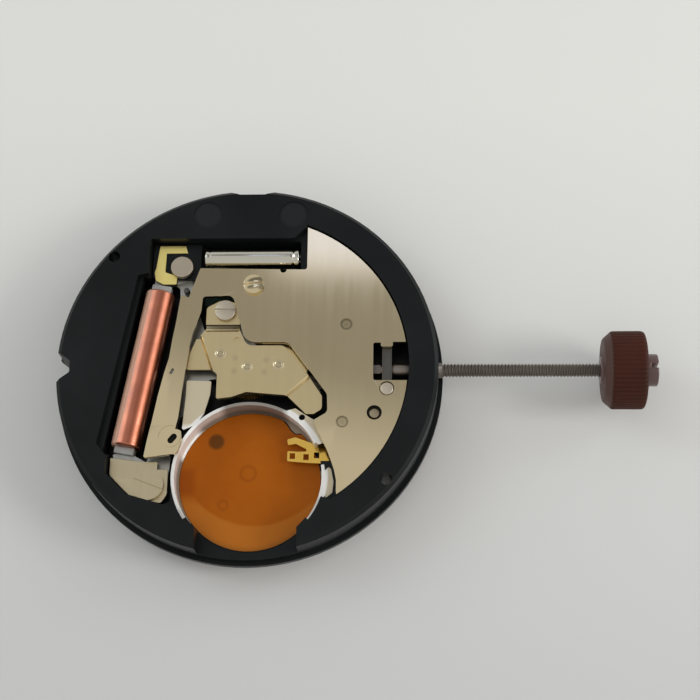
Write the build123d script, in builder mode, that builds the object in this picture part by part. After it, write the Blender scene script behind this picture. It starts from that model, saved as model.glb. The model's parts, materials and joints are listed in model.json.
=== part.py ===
from build123d import *
from math import atan2, cos, degrees, hypot, radians, sin
import os

os.makedirs("parts", exist_ok=True)

# A round quartz watch movement with a date, a threaded stem and a working crown, in millimetres.
# The origin is the hand axis at the plane that the dial rests on. +Z points to the battery side
# and +X along the stem to the crown. Tables of shares are shares of layout_radius.

# Body of the movement
case_radius = 12.8
layout_share = 0.78125
layout_radius = layout_share * case_radius
flange_width = 0.3
flange_radius = case_radius + flange_width
flange_height = 0.5
body_height = 3.0
rim_chamfer = 0.25
battery_rim_wall = 0.45
foot_hole_radius = 0.4
foot_hole_wall = 0.2
foot_hole_angles = (140, -40)
overrun = 0.5

# Gaps between pieces
running_gap = 0.03
square_gap = 0.02
axial_gap = 0.04
train_gap = 0.07
plate_gap = 0.10

# Dial side layers, upwards from the dial
date_cover_thickness = 0.10
finger_thickness = 0.10
date_gear_thickness = 0.08
minute_wheel_thickness = 0.10
web_thickness = 0.30
finger_bottom = date_cover_thickness + axial_gap
date_gear_bottom = finger_bottom + finger_thickness + axial_gap
minute_wheel_bottom = date_gear_bottom + date_gear_thickness + axial_gap
web_bottom = minute_wheel_bottom + minute_wheel_thickness + axial_gap
web_top = web_bottom + web_thickness

# Battery side layers, upwards from the web
wheel_thickness = 0.10
coil_level_gap = 0.26
stator_thickness = 0.30
core_thickness = 0.30
bridge_thickness = 0.36
cover_thickness = 0.35
cover_drop = 0.20
centre_wheel_bottom = web_top + plate_gap
stator_bottom = centre_wheel_bottom + wheel_thickness + coil_level_gap
stator_top = stator_bottom + stator_thickness
core_top = stator_top + core_thickness
seconds_wheel_bottom = stator_top + train_gap
intermediate_wheel_bottom = seconds_wheel_bottom + wheel_thickness + train_gap
third_wheel_bottom = intermediate_wheel_bottom + wheel_thickness + train_gap
bridge_bottom = third_wheel_bottom + wheel_thickness + plate_gap
bridge_top = bridge_bottom + bridge_thickness
cover_top = body_height - cover_drop
cover_bottom = cover_top - cover_thickness

# Gear teeth, in shares of the module and of the pitch
addendum_share = 0.7
dedendum_share = 1.0
root_half_share = 0.27
tip_half_share = 0.12
rotor_teeth = 10
intermediate_teeth = 50
intermediate_pinion_teeth = 10
seconds_teeth = 60
seconds_pinion_teeth = 8
third_teeth = 80
third_pinion_teeth = 10
centre_teeth = 60
cannon_teeth = 12
minute_teeth = 36
minute_pinion_teeth = 10
hour_teeth = 40
hour_date_teeth = 20
date_idler_teeth = 60
date_wheel_teeth = 40
setting_pinion_teeth = 16
setting_wheel_teeth = 24
pinion_crown_teeth = 14
corrector_teeth = 16
corrector_star_teeth = 5
date_ring_teeth = 31

# Arbors and pivots
pivot_radius = 0.08
pivot_depth = 0.12
arbor_radius = 0.13
arbor_end_gap = 0.06
dimple_radius = 0.22
dimple_depth = 0.08
seconds_post_radius = 0.10
cannon_radius = 0.35
hour_pipe_radius = 0.60
hour_pipe_tip = -0.75
hour_collar_radius = 0.80
hour_collar_bottom = -0.05
minute_seat_top = -0.80
cannon_waist_radius = 0.32
cannon_waist_top = -0.20
cannon_tip = -1.30
seconds_seat_top = -1.35
seconds_taper_top = -0.75
seconds_tip = -1.85
dial_post_radius = 0.30
minute_post_radius = 0.16
pipe_opening_gap = 0.10
magnet_radius = 0.50
magnet_margin = 0.03
air_gap = 0.08
stator_slit_width = 0.16

# Date works
date_wall = 1.3
date_ring_gap = 0.05
date_ring_band = 2.1
date_tooth_height = 0.35
date_seat_radius = case_radius - date_wall
date_ring_radius = date_seat_radius - date_ring_gap
date_ring_root_radius = date_ring_radius - date_ring_band
date_ring_tip_radius = date_ring_root_radius - date_tooth_height
date_ring_thickness = 0.18
date_ring_lift = 0.10
ring_tooth_root_share = 0.16
ring_tooth_tip_share = 0.05
date_cover_lap = 0.65
date_cover_radius = date_ring_root_radius + date_cover_lap
date_rib_inset = 0.35
date_rib_radius = date_ring_root_radius + date_rib_inset
date_rib_width = 0.3
small_screw_head_radius = 0.5
small_screw_radius = 0.25
date_screw_inset = 2.0
date_screw_reach = date_ring_tip_radius - date_screw_inset
date_screw_angles = (75, 215, 290)
date_boss_radius = 0.7
jumper_angle = 102
jumper_inset = 1.6
jumper_reach = date_ring_tip_radius - jumper_inset
jumper_lean = 12
jumper_foot_radius = 0.6
jumper_tip_gap = 0.20
jumper_width = 0.22
minute_wheel_reach = 2.0
minute_wheel_angle = -15
setting_wheel_angle = -2
date_idler_angle = 150
date_wheel_angle = 170
date_finger_bite = 0.2
date_finger_width = 0.35
date_finger_angle = -20
date_hub_radius = 0.55
corrector_star_radius = 1.15
corrector_star_root = 0.60
corrector_star_gap = 0.20
corrector_angle = -17.5
corrector_star_root_share = 0.30
corrector_star_tip_share = 0.10
corrector_room = 0.25
corrector_gear_module = 0.10
corrector_hub_radius = 0.35
setting_hub_radius = 0.35
date_ring_bottom = date_cover_thickness + date_ring_lift
date_ring_top = date_ring_bottom + date_ring_thickness
small_screw_head_thickness = 0.05
small_screw_length = 0.45
small_screw_slot_depth = 0.02

# Battery well, for a cell 9.5 mm across and about 2 mm thick
battery_radius = 4.75
battery_gap = 0.10
battery_wall_thickness = 0.22
battery_wall_angles = (27, 217)
battery_clip_angles = (-37, 9)
wall_flange_thickness = 0.15
wall_foot_width = 0.12
film_thickness = 0.06
film_radius = 4.70
rim_notch_bottom = 1.20
well_x_share = 0.028

# Stem and keyless works
stem_height = 1.65
stem_radius = 0.45
stem_bearing_radius = 0.50
stem_neck_radius = 0.22
stem_square = 0.60
stem_pilot_radius = 0.20
stem_travel = 0.70
pilot_block_start = 4.95
pilot_start = pilot_block_start - stem_travel
pilot_block_end = 5.40
pilot_block_half = 0.40
pilot_block_reach = 2.00
square_start = 5.60
square_end = 8.90
shoulder_radius = 0.40
lever_pin_radius = 0.12
lever_pin_y = 0.50
lever_pin_depth = 0.15
lever_hub_radius = 0.50
neck_gap = 0.05
bearing_end = 13.50
crown_start = 23.55
crown_end = 26.50
crown_radius = 2.62
crown_chamfer = 0.55
crown_chamfer_length = 0.75
crown_outer_chamfer = 0.20
crown_flutes = 30
crown_flute_radius = 0.16
crown_boss_radius = 1.08
crown_boss_end = 27.35
crown_slot_width = 0.30
crown_slot_depth = 0.50
pinion_start = 5.45
pinion_end = 7.05
pinion_hub_radius = 0.50
pinion_crown_module = 0.10
pinion_crown_length = 0.50
setting_lever_thickness = 0.20
release_radius = 0.25
release_head_radius = 0.44
release_travel = 0.20
release_stand = 0.02
yoke_thickness = 0.20
setting_gear_thickness = 0.20
stem_hold = 2.35
crown_core_radius = 0.90
setting_lever_bottom = stem_height + stem_bearing_radius + running_gap
setting_lever_top = setting_lever_bottom + setting_lever_thickness
yoke_bottom = stem_height - yoke_thickness / 2

# Coil
coil_radius = 1.03
coil_top_y_share = 0.555
coil_end_y_share = -0.545
coil_mid_x_share = -0.658
coil_mid_y_share = 0.30
coil_slope = 0.166
core_width = 1.00
sleeve_width = 1.35
sleeve_length = 0.50
sleeve_height = 0.80
coil_side_gap = 0.28

# Small fixings
screw_slot_width = 0.18
screw_slot_depth = 0.12
cover_screw_radius = 0.68
bridge_screw_radius = 0.72
coil_post_radius = 0.77
clamp_screw_radius = 1.05
locating_pin_radius = 0.33
coil_pin_radius = 0.20
yoke_pin_radius = 0.42
shank_radius = 0.28
clamp_shank_radius = 0.40
clamp_slot_angle = -21
cover_slot_angle = 7
head_height = 0.30
post_height = 0.40
pillar_wall = 0.30
pillar_radius = 0.55
small_pillar_radius = 0.30
bridge_step = 0.20
bridge_foot_drop = 0.22
bridge_groove_depth = 0.16
clamp_plate_thickness = 0.25
flap_drop = 0.08
mark_radius = 1.0
mark_depth = 0.05

# Circuit
board_thickness = 0.20
chip_size = 1.60
chip_height = 0.60
crystal_radius = 0.73
crystal_start_share = -0.318
crystal_end_share = 0.332
crystal_cap_length = 0.35
crystal_y_share = 0.80
crystal_height = 2.00
crystal_lead_radius = 0.09
crystal_lead_spread = 0.36
crystal_lead_inset = 0.06
crystal_rim = 0.04
block_thickness = 0.20
track_thickness = 0.08
contact_spring_thickness = 0.08
contact_spring_height = 1.22


def along(reach, angle, start=(0, 0)):
    """The place at a reach and an angle from a start."""
    return start[0] + reach * cos(radians(angle)), start[1] + reach * sin(radians(angle))


def spread(shares):
    """Shares of the layout radius as a place."""
    return shares[0] * layout_radius, shares[1] * layout_radius


def by_well(shares):
    """Shares of the radius of the battery well as a place, from its middle."""
    return well_place[0] + shares[0] * well_radius, well_place[1] + shares[1] * well_radius


def distance(start, end):
    return hypot(end[0] - start[0], end[1] - start[1])


def bearing(start, end):
    return degrees(atan2(end[1] - start[1], end[0] - start[0]))


def meshed(phase, teeth, angle, other_teeth):
    """Phase of a gear that meshes with another one, which lies at an angle from it."""
    pitch = 360 / teeth
    past = ((angle - phase) % pitch) / pitch
    return angle + 180 + (past + 0.5) * 360 / other_teeth


def add_round(place, radius, low, high, mode=Mode.ADD):
    """A round post, disc or hole along Z."""
    with BuildSketch(Plane(origin=(place[0], place[1], low))) as disc:
        Circle(radius)
    extrude(disc.sketch, amount=high - low, mode=mode)


def add_cone(low_radius, high_radius, low, high):
    """A tapered length on the hand axis."""
    with Locations((0, 0, low)):
        Cone(low_radius, high_radius, high - low, align=(Align.CENTER, Align.CENTER, Align.MIN))


def add_turned(radius, low, high, mode=Mode.ADD):
    """A round length of the stem or what sits on it, along X."""
    with BuildSketch(Plane(origin=(low, 0, stem_height), x_dir=(0, 1, 0), z_dir=(1, 0, 0))) as disc:
        Circle(radius)
    extrude(disc.sketch, amount=high - low, mode=mode)


def add_outline(points, roundings, low, high, mode):
    """A flat plate or pocket with rounded corners."""
    with BuildSketch(Plane.XY.offset(low)) as plate:
        with BuildLine():
            FilletPolyline(*points, radius=roundings, close=True)
        make_face()
    extrude(plate.sketch, amount=high - low, mode=mode)


def add_plate(corners, low, high, mode=Mode.ADD):
    """A plate or pocket. Each corner is x, y and its rounding, in shares of layout_radius."""
    roundings = [corner[2] * layout_radius for corner in corners]
    add_outline([spread(corner) for corner in corners], roundings, low, high, mode)


def add_well_plate(corners, low, high, mode=Mode.ADD):
    """The same by the battery well, in shares of well_radius from its middle."""
    roundings = [corner[2] * well_radius for corner in corners]
    add_outline([by_well(corner) for corner in corners], roundings, low, high, mode)


def add_bar(start, end, width, low, high, mode=Mode.ADD):
    """A straight bar with round ends."""
    with BuildSketch(Plane(origin=(start[0], start[1], low))) as bar:
        with Locations(Rot(0, 0, bearing(start, end))):
            with Locations((distance(start, end) / 2, 0)):
                SlotCenterToCenter(distance(start, end), width)
    extrude(bar.sketch, amount=high - low, mode=mode)


def add_band(place, inner, outer, angles, low, high, mode=Mode.ADD):
    """A curved wall from one angle to another about a place."""
    sweep_angle = angles[1] - angles[0]
    with BuildSketch(Plane(origin=(place[0], place[1], low))) as band:
        with BuildLine():
            CenterArc((0, 0), outer, angles[0], sweep_angle)
            CenterArc((0, 0), inner, angles[0], sweep_angle)
            Line(along(inner, angles[0]), along(outer, angles[0]))
            Line(along(inner, angles[1]), along(outer, angles[1]))
        make_face()
    extrude(band.sketch, amount=high - low, mode=mode)


def tooth_points(teeth, root_radius, tip_radius, phase, root_share, tip_share):
    """Corners of a toothed outline, four to a tooth."""
    pitch = 360 / teeth
    corners = []
    for tooth in range(teeth):
        middle = phase + tooth * pitch
        corners.append(along(root_radius, middle - root_share * pitch))
        corners.append(along(tip_radius, middle - tip_share * pitch))
        corners.append(along(tip_radius, middle + tip_share * pitch))
        corners.append(along(root_radius, middle + root_share * pitch))
    return corners


def add_gear(place, teeth, module, phase, low, high):
    """A toothed disc along Z."""
    pitch_radius = module * teeth / 2
    with BuildSketch(Plane(origin=(place[0], place[1], low))) as gear:
        with BuildLine():
            Polyline(
                *tooth_points(
                    teeth,
                    pitch_radius - dedendum_share * module,
                    pitch_radius + addendum_share * module,
                    phase,
                    root_half_share,
                    tip_half_share,
                ),
                close=True,
            )
        make_face()
    extrude(gear.sketch, amount=high - low)


def add_screw(place, head_radius, head_low, head_high, screw_radius, tip, slot_angle):
    """A slotted cheese head screw or a round headed post."""
    add_round(place, head_radius, head_low, head_high)
    add_round(place, screw_radius, tip, head_low)
    with BuildSketch(Plane(origin=(place[0], place[1], head_high - screw_slot_depth))) as slot:
        Rectangle(2 * (head_radius + overrun), screw_slot_width, rotation=slot_angle)
    extrude(slot.sketch, amount=screw_slot_depth + overrun, mode=Mode.SUBTRACT)


# Places of the arbors and fixings
centre = (0, 0)
rotor_place = spread((-0.183, 0.092))
intermediate_place = spread((-0.075, 0.187))
third_place = spread((0.2105, 0.015))
cannon_module = 2 * minute_wheel_reach / (cannon_teeth + minute_teeth)
hour_module = 2 * minute_wheel_reach / (minute_pinion_teeth + hour_teeth)
minute_place = along(minute_wheel_reach, minute_wheel_angle)
setting_reach = cannon_module * (minute_teeth + setting_pinion_teeth) / 2
setting_place = along(setting_reach, setting_wheel_angle, minute_place)
idler_place = along(hour_module * (hour_date_teeth + date_idler_teeth) / 2, date_idler_angle)
date_wheel_reach = hour_module * (date_idler_teeth + date_wheel_teeth) / 2
date_wheel_place = along(date_wheel_reach, date_wheel_angle, idler_place)
date_finger_reach = date_ring_tip_radius + date_finger_bite - distance(centre, date_wheel_place)
corrector_reach = date_ring_tip_radius - corrector_star_radius - corrector_star_gap
corrector_place = along(corrector_reach, corrector_angle)
release_place = spread((0.936, -0.162))
yoke_place = spread((0.77, 0.24))
cover_screw_place = spread((0.03, 0.575))
bridge_screw_place = spread((-0.16, 0.402))
coil_post_place = spread((-0.472, 0.725))
clamp_screw_place = spread((-0.63, -0.81))
arm_pillar_place = spread((-0.49, -0.495))
coil_pin_place = spread((-0.437, 0.565))
locating_pin_place = spread((0.854, -0.329))
jumper_place = along(jumper_reach, jumper_angle + jumper_lean)
well_radius = battery_radius + battery_gap
well_place = (well_x_share * layout_radius, -(case_radius - battery_rim_wall - well_radius))
cover_radius = 1.075 * layout_radius
coil_angle = degrees(atan2(1, coil_slope))


def coil_place(y_share):
    """A place on the axis of the coil."""
    return spread((coil_mid_x_share + coil_slope * (y_share - coil_mid_y_share), y_share))


# Outlines in shares of layout_radius: x, y, rounding
inner_wall_shares = (
    (0.385, 1.000, 0.0), (0.345, 0.964, 0.03), (0.300, 0.915, 0.03), (-0.650, 0.915, 0.03),
    (-0.690, 0.880, 0.02), (-0.690, 0.665, 0.0), (-0.765, 0.645, 0.02), (-0.775, 0.575, 0.0),
    (-0.975, -0.545, 0.02), (-0.905, -0.630, 0.0), (-0.905, -0.740, 0.02), (-0.755, -0.885, 0.02),
    (-0.530, -0.955, 0.02), (-0.455, -0.970, 0.0), (0.300, -0.970, 0.0), (0.455, -0.975, 0.0),
    (0.600, -0.800, 0.0), (0.600, 0.600, 0.0), (0.385, 0.600, 0.0),
)
right_field_shares = (
    (0.385, 1.2, 0.0), (1.2, 1.2, 0.0), (1.2, -1.2, 0.0), (0.67, -0.92, 0.0), (0.55, -0.92, 0.0),
    (0.52, -0.85, 0.0), (0.52, -0.60, 0.0), (0.44, -0.5, 0.0), (0.0, -0.5, 0.0), (0.0, 0.5, 0.0),
    (0.385, 0.5, 0.0),
)
rim_notch_shares = (
    (-0.30, -1.08, 0.0), (-0.30, -1.40, 0.0), (0.36, -1.40, 0.0), (0.36, -1.08, 0.0),
)
train_pocket_shares = (
    (-0.475, 0.640, 0.0), (-0.330, 0.640, 0.0), (-0.330, 0.520, 0.0), (-0.020, 0.520, 0.02),
    (0.060, 0.290, 0.02), (0.350, 0.270, 0.02), (0.420, 0.180, 0.0), (0.600, 0.120, 0.0),
    (0.600, -0.120, 0.0), (0.560, -0.180, 0.02), (0.575, -0.260, 0.02), (0.520, -0.360, 0.0),
    (0.400, -0.480, 0.0), (0.020, -0.400, 0.0), (-0.370, -0.480, 0.0), (-0.410, -0.640, 0.0),
    (-0.700, -0.640, 0.0), (-0.530, 0.540, 0.0),
)
circuit_pocket_shares = (
    (-0.330, 0.470, 0.0), (0.345, 0.470, 0.02), (0.345, 0.914, 0.02), (-0.330, 0.914, 0.0),
)
post_shelf_shares = (
    (-0.685, 0.600, 0.0), (-0.310, 0.600, 0.0), (-0.310, 0.914, 0.0), (-0.685, 0.914, 0.0),
)
clamp_shelf_shares = (
    (-0.900, -0.595, 0.0), (-0.445, -0.595, 0.0), (-0.445, -0.720, 0.0), (-0.475, -0.800, 0.0),
    (-0.475, -0.925, 0.0), (-0.540, -0.950, 0.0), (-0.755, -0.888, 0.0), (-0.905, -0.740, 0.0),
)
keyless_pocket_shares = (
    (0.540, -0.175, 0.0), (0.780, -0.175, 0.0), (0.860, -0.230, 0.02), (1.000, -0.230, 0.02),
    (1.100, -0.120, 0.02), (1.100, 0.180, 0.02), (1.020, 0.280, 0.02), (0.700, 0.310, 0.02),
    (0.540, 0.180, 0.02),
)
spring_pocket_shares = (
    (0.891, 0.515, 0.0), (1.128, 0.515, 0.02), (1.179, 0.351, 0.02), (1.159, 0.206, 0.02),
    (0.891, 0.206, 0.0),
)
notch_shares = ((-1.40, 0.185, 0.0), (-1.188, 0.030, 0.02), (-1.188, -0.050, 0.02), (-1.40, -0.210, 0.0))
dip_shares = (
    (-0.17, 1.280, 0.0), (-0.09, 1.245, 0.03), (0.09, 1.245, 0.03), (0.17, 1.280, 0.0),
    (0.17, 1.40, 0.0), (-0.17, 1.40, 0.0),
)
mark_places = ((-0.30, 1.09), (0.29, 1.09))
cover_shares = (
    (-0.340, 0.703, 0.01), (-0.410, 0.489, 0.0), (-0.465, 0.514, 0.01), (-0.488, 0.326, 0.0),
    (-0.510, 0.182, 0.0), (-0.525, 0.057, 0.0), (-0.553, -0.050, 0.0), (-0.585, -0.200, 0.0),
    (-0.620, -0.400, 0.0), (-0.647, -0.550, 0.0), (-0.660, -0.638, 0.01), (-0.440, -0.610, 0.03),
    (-0.412, -0.520, 0.04), (-0.420, -0.450, 0.02), (-0.459, -0.441, 0.0), (-0.442, -0.363, 0.0),
    (-0.431, -0.251, 0.0), (-0.420, -0.119, 0.0), (-0.408, -0.023, 0.0), (-0.396, 0.075, 0.0),
    (-0.387, 0.154, 0.0), (-0.370, 0.235, 0.0), (-0.350, 0.289, 0.0), (-0.321, 0.388, 0.0),
    (-0.313, 0.495, 0.02),
    (-0.110, 0.503, 0.05), (-0.015, 0.165, 0.09), (0.275, 0.165, 0.08), (0.540, -0.200, 0.04),
    (0.545, -0.325, 0.04), (0.455, -0.380, 0.0), (0.470, -0.430, 0.0), (0.513, -0.518, 0.0),
    (0.547, -0.586, 0.0), (0.568, -0.640, 0.0), (0.595, -0.721, 0.02), (0.609, -0.789, 0.02),
    (0.609, -0.860, 0.0), (0.650, -1.200, 0.0), (1.200, -1.200, 0.0), (1.200, 1.200, 0.0),
    (0.390, 1.200, 0.0), (0.390, 0.690, 0.02), (0.000, 0.695, 0.0),
)
flap_shares = (
    (-0.410, 0.489, 0.0), (-0.440, 0.200, 0.0), (-0.467, 0.100, 0.0), (-0.513, -0.200, 0.0),
    (-0.520, -0.410, 0.0), (-0.650, -0.420, 0.0), (-0.650, 0.540, 0.0), (-0.430, 0.540, 0.0),
)
arm_hole_shares = ((-0.507, -0.047), (-0.496, -0.028))
arm_hole_width_share = 0.022
boss_hole_shares = ((-0.485, -0.520), (-0.465, -0.495))
boss_hole_width_share = 0.042
boss_ring_share = 0.070
boss_ring_width_share = 0.008
cover_slot_shares = (
    (0.845, -0.105, 0.015), (1.200, -0.105, 0.0), (1.200, 0.165, 0.0), (0.975, 0.165, 0.0),
    (0.975, 0.132, 0.01), (0.895, 0.132, 0.01), (0.895, 0.160, 0.0), (0.845, 0.160, 0.015),
)
cover_nick_place = (0.228, 0.690)
cover_nick_share = 0.022
cover_hole_share = 0.05
cover_dimple_places = ((0.663, 0.293), (0.643, -0.392))
cover_dimple_share = 0.038
bridge_shares = (
    (-0.290, 0.265, 0.02), (-0.060, 0.265, 0.02), (-0.005, 0.150, 0.06), (0.245, 0.150, 0.06),
    (0.422, -0.073, 0.0), (0.275, -0.202, 0.0), (0.000, -0.178, 0.03), (-0.100, -0.213, 0.02),
    (-0.200, -0.225, 0.01), (-0.200, -0.050, 0.03), (-0.250, -0.010, 0.0), (-0.325, 0.215, 0.01),
)
bridge_step_shares = (
    (-0.300, 0.200, 0.0), (-0.350, 0.205, 0.01), (-0.392, 0.100, 0.0), (-0.408, -0.015, 0.01),
    (-0.240, -0.015, 0.0), (-0.230, 0.100, 0.0),
)
bridge_tab_shares = (
    (-0.290, 0.265, 0.0), (-0.290, 0.430, 0.03), (-0.200, 0.480, 0.04), (-0.100, 0.470, 0.05),
    (-0.060, 0.400, 0.02), (-0.060, 0.265, 0.0),
)
bridge_groove_shares = (
    (-0.300, 0.275, 0.0), (-0.300, 0.305, 0.0), (-0.030, 0.305, 0.0), (-0.030, 0.275, 0.0),
)
bridge_foot_shares = (
    (0.275, -0.202, 0.0), (0.422, -0.073, 0.0), (0.455, -0.125, 0.02), (0.505, -0.200, 0.03),
    (0.505, -0.290, 0.03), (0.450, -0.325, 0.02), (0.400, -0.325, 0.0),
)
bridge_left_pillar_place = (-0.125, -0.190)
bridge_foot_pillar_place = (0.430, -0.235)
stator_shares = (
    (-0.550, 0.640, 0.02), (-0.550, 0.790, 0.03), (-0.400, 0.800, 0.03), (-0.365, 0.640, 0.02),
    (-0.345, 0.400, 0.02), (-0.300, 0.262, 0.03), (-0.183, 0.222, 0.05), (-0.065, 0.130, 0.04),
    (-0.055, 0.040, 0.04), (-0.130, -0.045, 0.05), (-0.260, -0.060, 0.02), (-0.455, -0.350, 0.02),
    (-0.500, -0.640, 0.02), (-0.520, -0.900, 0.03), (-0.690, -0.880, 0.03), (-0.740, -0.800, 0.03),
    (-0.660, -0.640, 0.02), (-0.640, -0.590, 0.02), (-0.480, 0.450, 0.02), (-0.490, 0.600, 0.02),
)
core_top_shares = (
    (-0.665, 0.615, 0.01), (-0.545, 0.607, 0.01), (-0.400, 0.650, 0.02), (-0.400, 0.790, 0.03),
    (-0.550, 0.790, 0.03), (-0.650, 0.700, 0.02),
)
core_end_shares = (
    (-0.880, -0.590, 0.01), (-0.755, -0.590, 0.01), (-0.540, -0.710, 0.02), (-0.530, -0.890, 0.03),
    (-0.680, -0.895, 0.03), (-0.845, -0.755, 0.02),
)
block_shares = (
    (-0.680, 0.660, 0.01), (-0.345, 0.640, 0.0), (-0.345, 0.908, 0.01), (-0.680, 0.908, 0.02),
)
track_shares = (
    (-0.600, 0.610, 0.0), (-0.510, 0.610, 0.01), (-0.505, 0.670, 0.01), (-0.590, 0.700, 0.01),
    (-0.588, 0.840, 0.0), (-0.440, 0.840, 0.005), (-0.455, 0.895, 0.005), (-0.635, 0.895, 0.01),
    (-0.655, 0.730, 0.0), (-0.665, 0.700, 0.0), (-0.655, 0.640, 0.0),
)
board_shares = (
    (-0.320, 0.490, 0.0), (0.335, 0.490, 0.02), (0.335, 0.905, 0.02), (-0.320, 0.905, 0.02),
)
chip_place = (0.220, 0.585)
clamp_plate_shares = (
    (-0.892, -0.620, 0.01), (-0.675, -0.648, 0.0), (-0.573, -0.648, 0.0), (-0.573, -0.700, 0.0),
    (-0.500, -0.700, 0.01), (-0.503, -0.740, 0.0), (-0.503, -0.865, 0.02), (-0.540, -0.932, 0.02),
    (-0.667, -0.898, 0.0), (-0.750, -0.878, 0.01), (-0.892, -0.735, 0.02),
)
wall_flange_shares = (
    (-0.887, 1.357, 0.02), (-0.546, 1.344, 0.02), (-0.557, 1.159, 0.04), (-0.629, 0.887, 0.0),
    (-0.728, 0.722, 0.0), (-0.924, 0.643, 0.02), (-0.907, 0.876, 0.0), (-0.889, 1.146, 0.0),
)
film_cut_shares = (
    (0.324, 1.052, 0.0), (0.361, 0.911, 0.0), (0.431, 0.868, 0.0), (0.495, 0.796, 0.0),
    (0.530, 0.738, 0.0), (0.602, 0.670, 0.0), (0.685, 0.670, 0.0), (0.773, 0.709, 0.0),
    (1.014, 0.722, 0.0), (1.014, 1.134, 0.0),
)
floor_tab_shares = (
    (0.355, 1.052, 0.0), (0.379, 0.928, 0.0), (0.443, 0.882, 0.0), (0.509, 0.808, 0.0),
    (0.544, 0.748, 0.0), (0.608, 0.685, 0.0), (0.678, 0.685, 0.0), (0.771, 0.726, 0.0),
    (1.014, 0.742, 0.0), (1.014, 1.134, 0.0),
)
spring_shares = (
    (1.087, 0.485, 0.02), (1.087, 0.237, 0.02), (0.963, 0.237, 0.0), (0.798, 0.243, 0.0),
    (0.509, 0.268, 0.02), (0.509, 0.412, 0.02), (0.643, 0.402, 0.0), (0.829, 0.406, 0.02),
    (0.623, 0.515, 0.0), (0.515, 0.495, 0.02), (0.503, 0.577, 0.02), (0.612, 0.608, 0.02),
    (0.891, 0.505, 0.0),
)
spring_window_places = ((0.579, 0.340), (0.767, 0.326), (0.911, 0.351))
spring_window_shares = (0.074, 0.082)
right_flange_shares = (
    (0.499, 0.918, 0.0), (0.623, 0.953, 0.02), (0.777, 0.849, 0.02), (0.922, 0.763, 0.02),
    (1.060, 0.474, 0.02), (0.942, 0.443, 0.0), (0.860, 0.546, 0.0), (0.777, 0.649, 0.0),
    (0.664, 0.753, 0.0),
)
clip_flange_shares = (
    (0.915, -0.062, 0.02), (1.091, 0.130, 0.02), (1.128, 0.093, 0.02), (1.163, -0.082, 0.04),
    (1.148, -0.237, 0.04), (1.025, -0.334, 0.02), (0.973, -0.247, 0.0),
)
flange_hole_place = (0.715, 0.825)
flange_hole_share = 0.043
setting_lever_shares = (
    (0.903, -0.162, 0.0), (0.903, 0.165, 0.01), (0.969, 0.165, 0.01), (0.969, -0.162, 0.0),
)
yoke_shares = (
    (0.805, 0.200, 0.02), (0.805, 0.275, 0.02), (0.725, 0.285, 0.03), (0.612, 0.150, 0.02),
    (0.612, 0.056, 0.005), (0.638, 0.056, 0.005), (0.638, 0.130, 0.02), (0.735, 0.200, 0.02),
)

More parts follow.
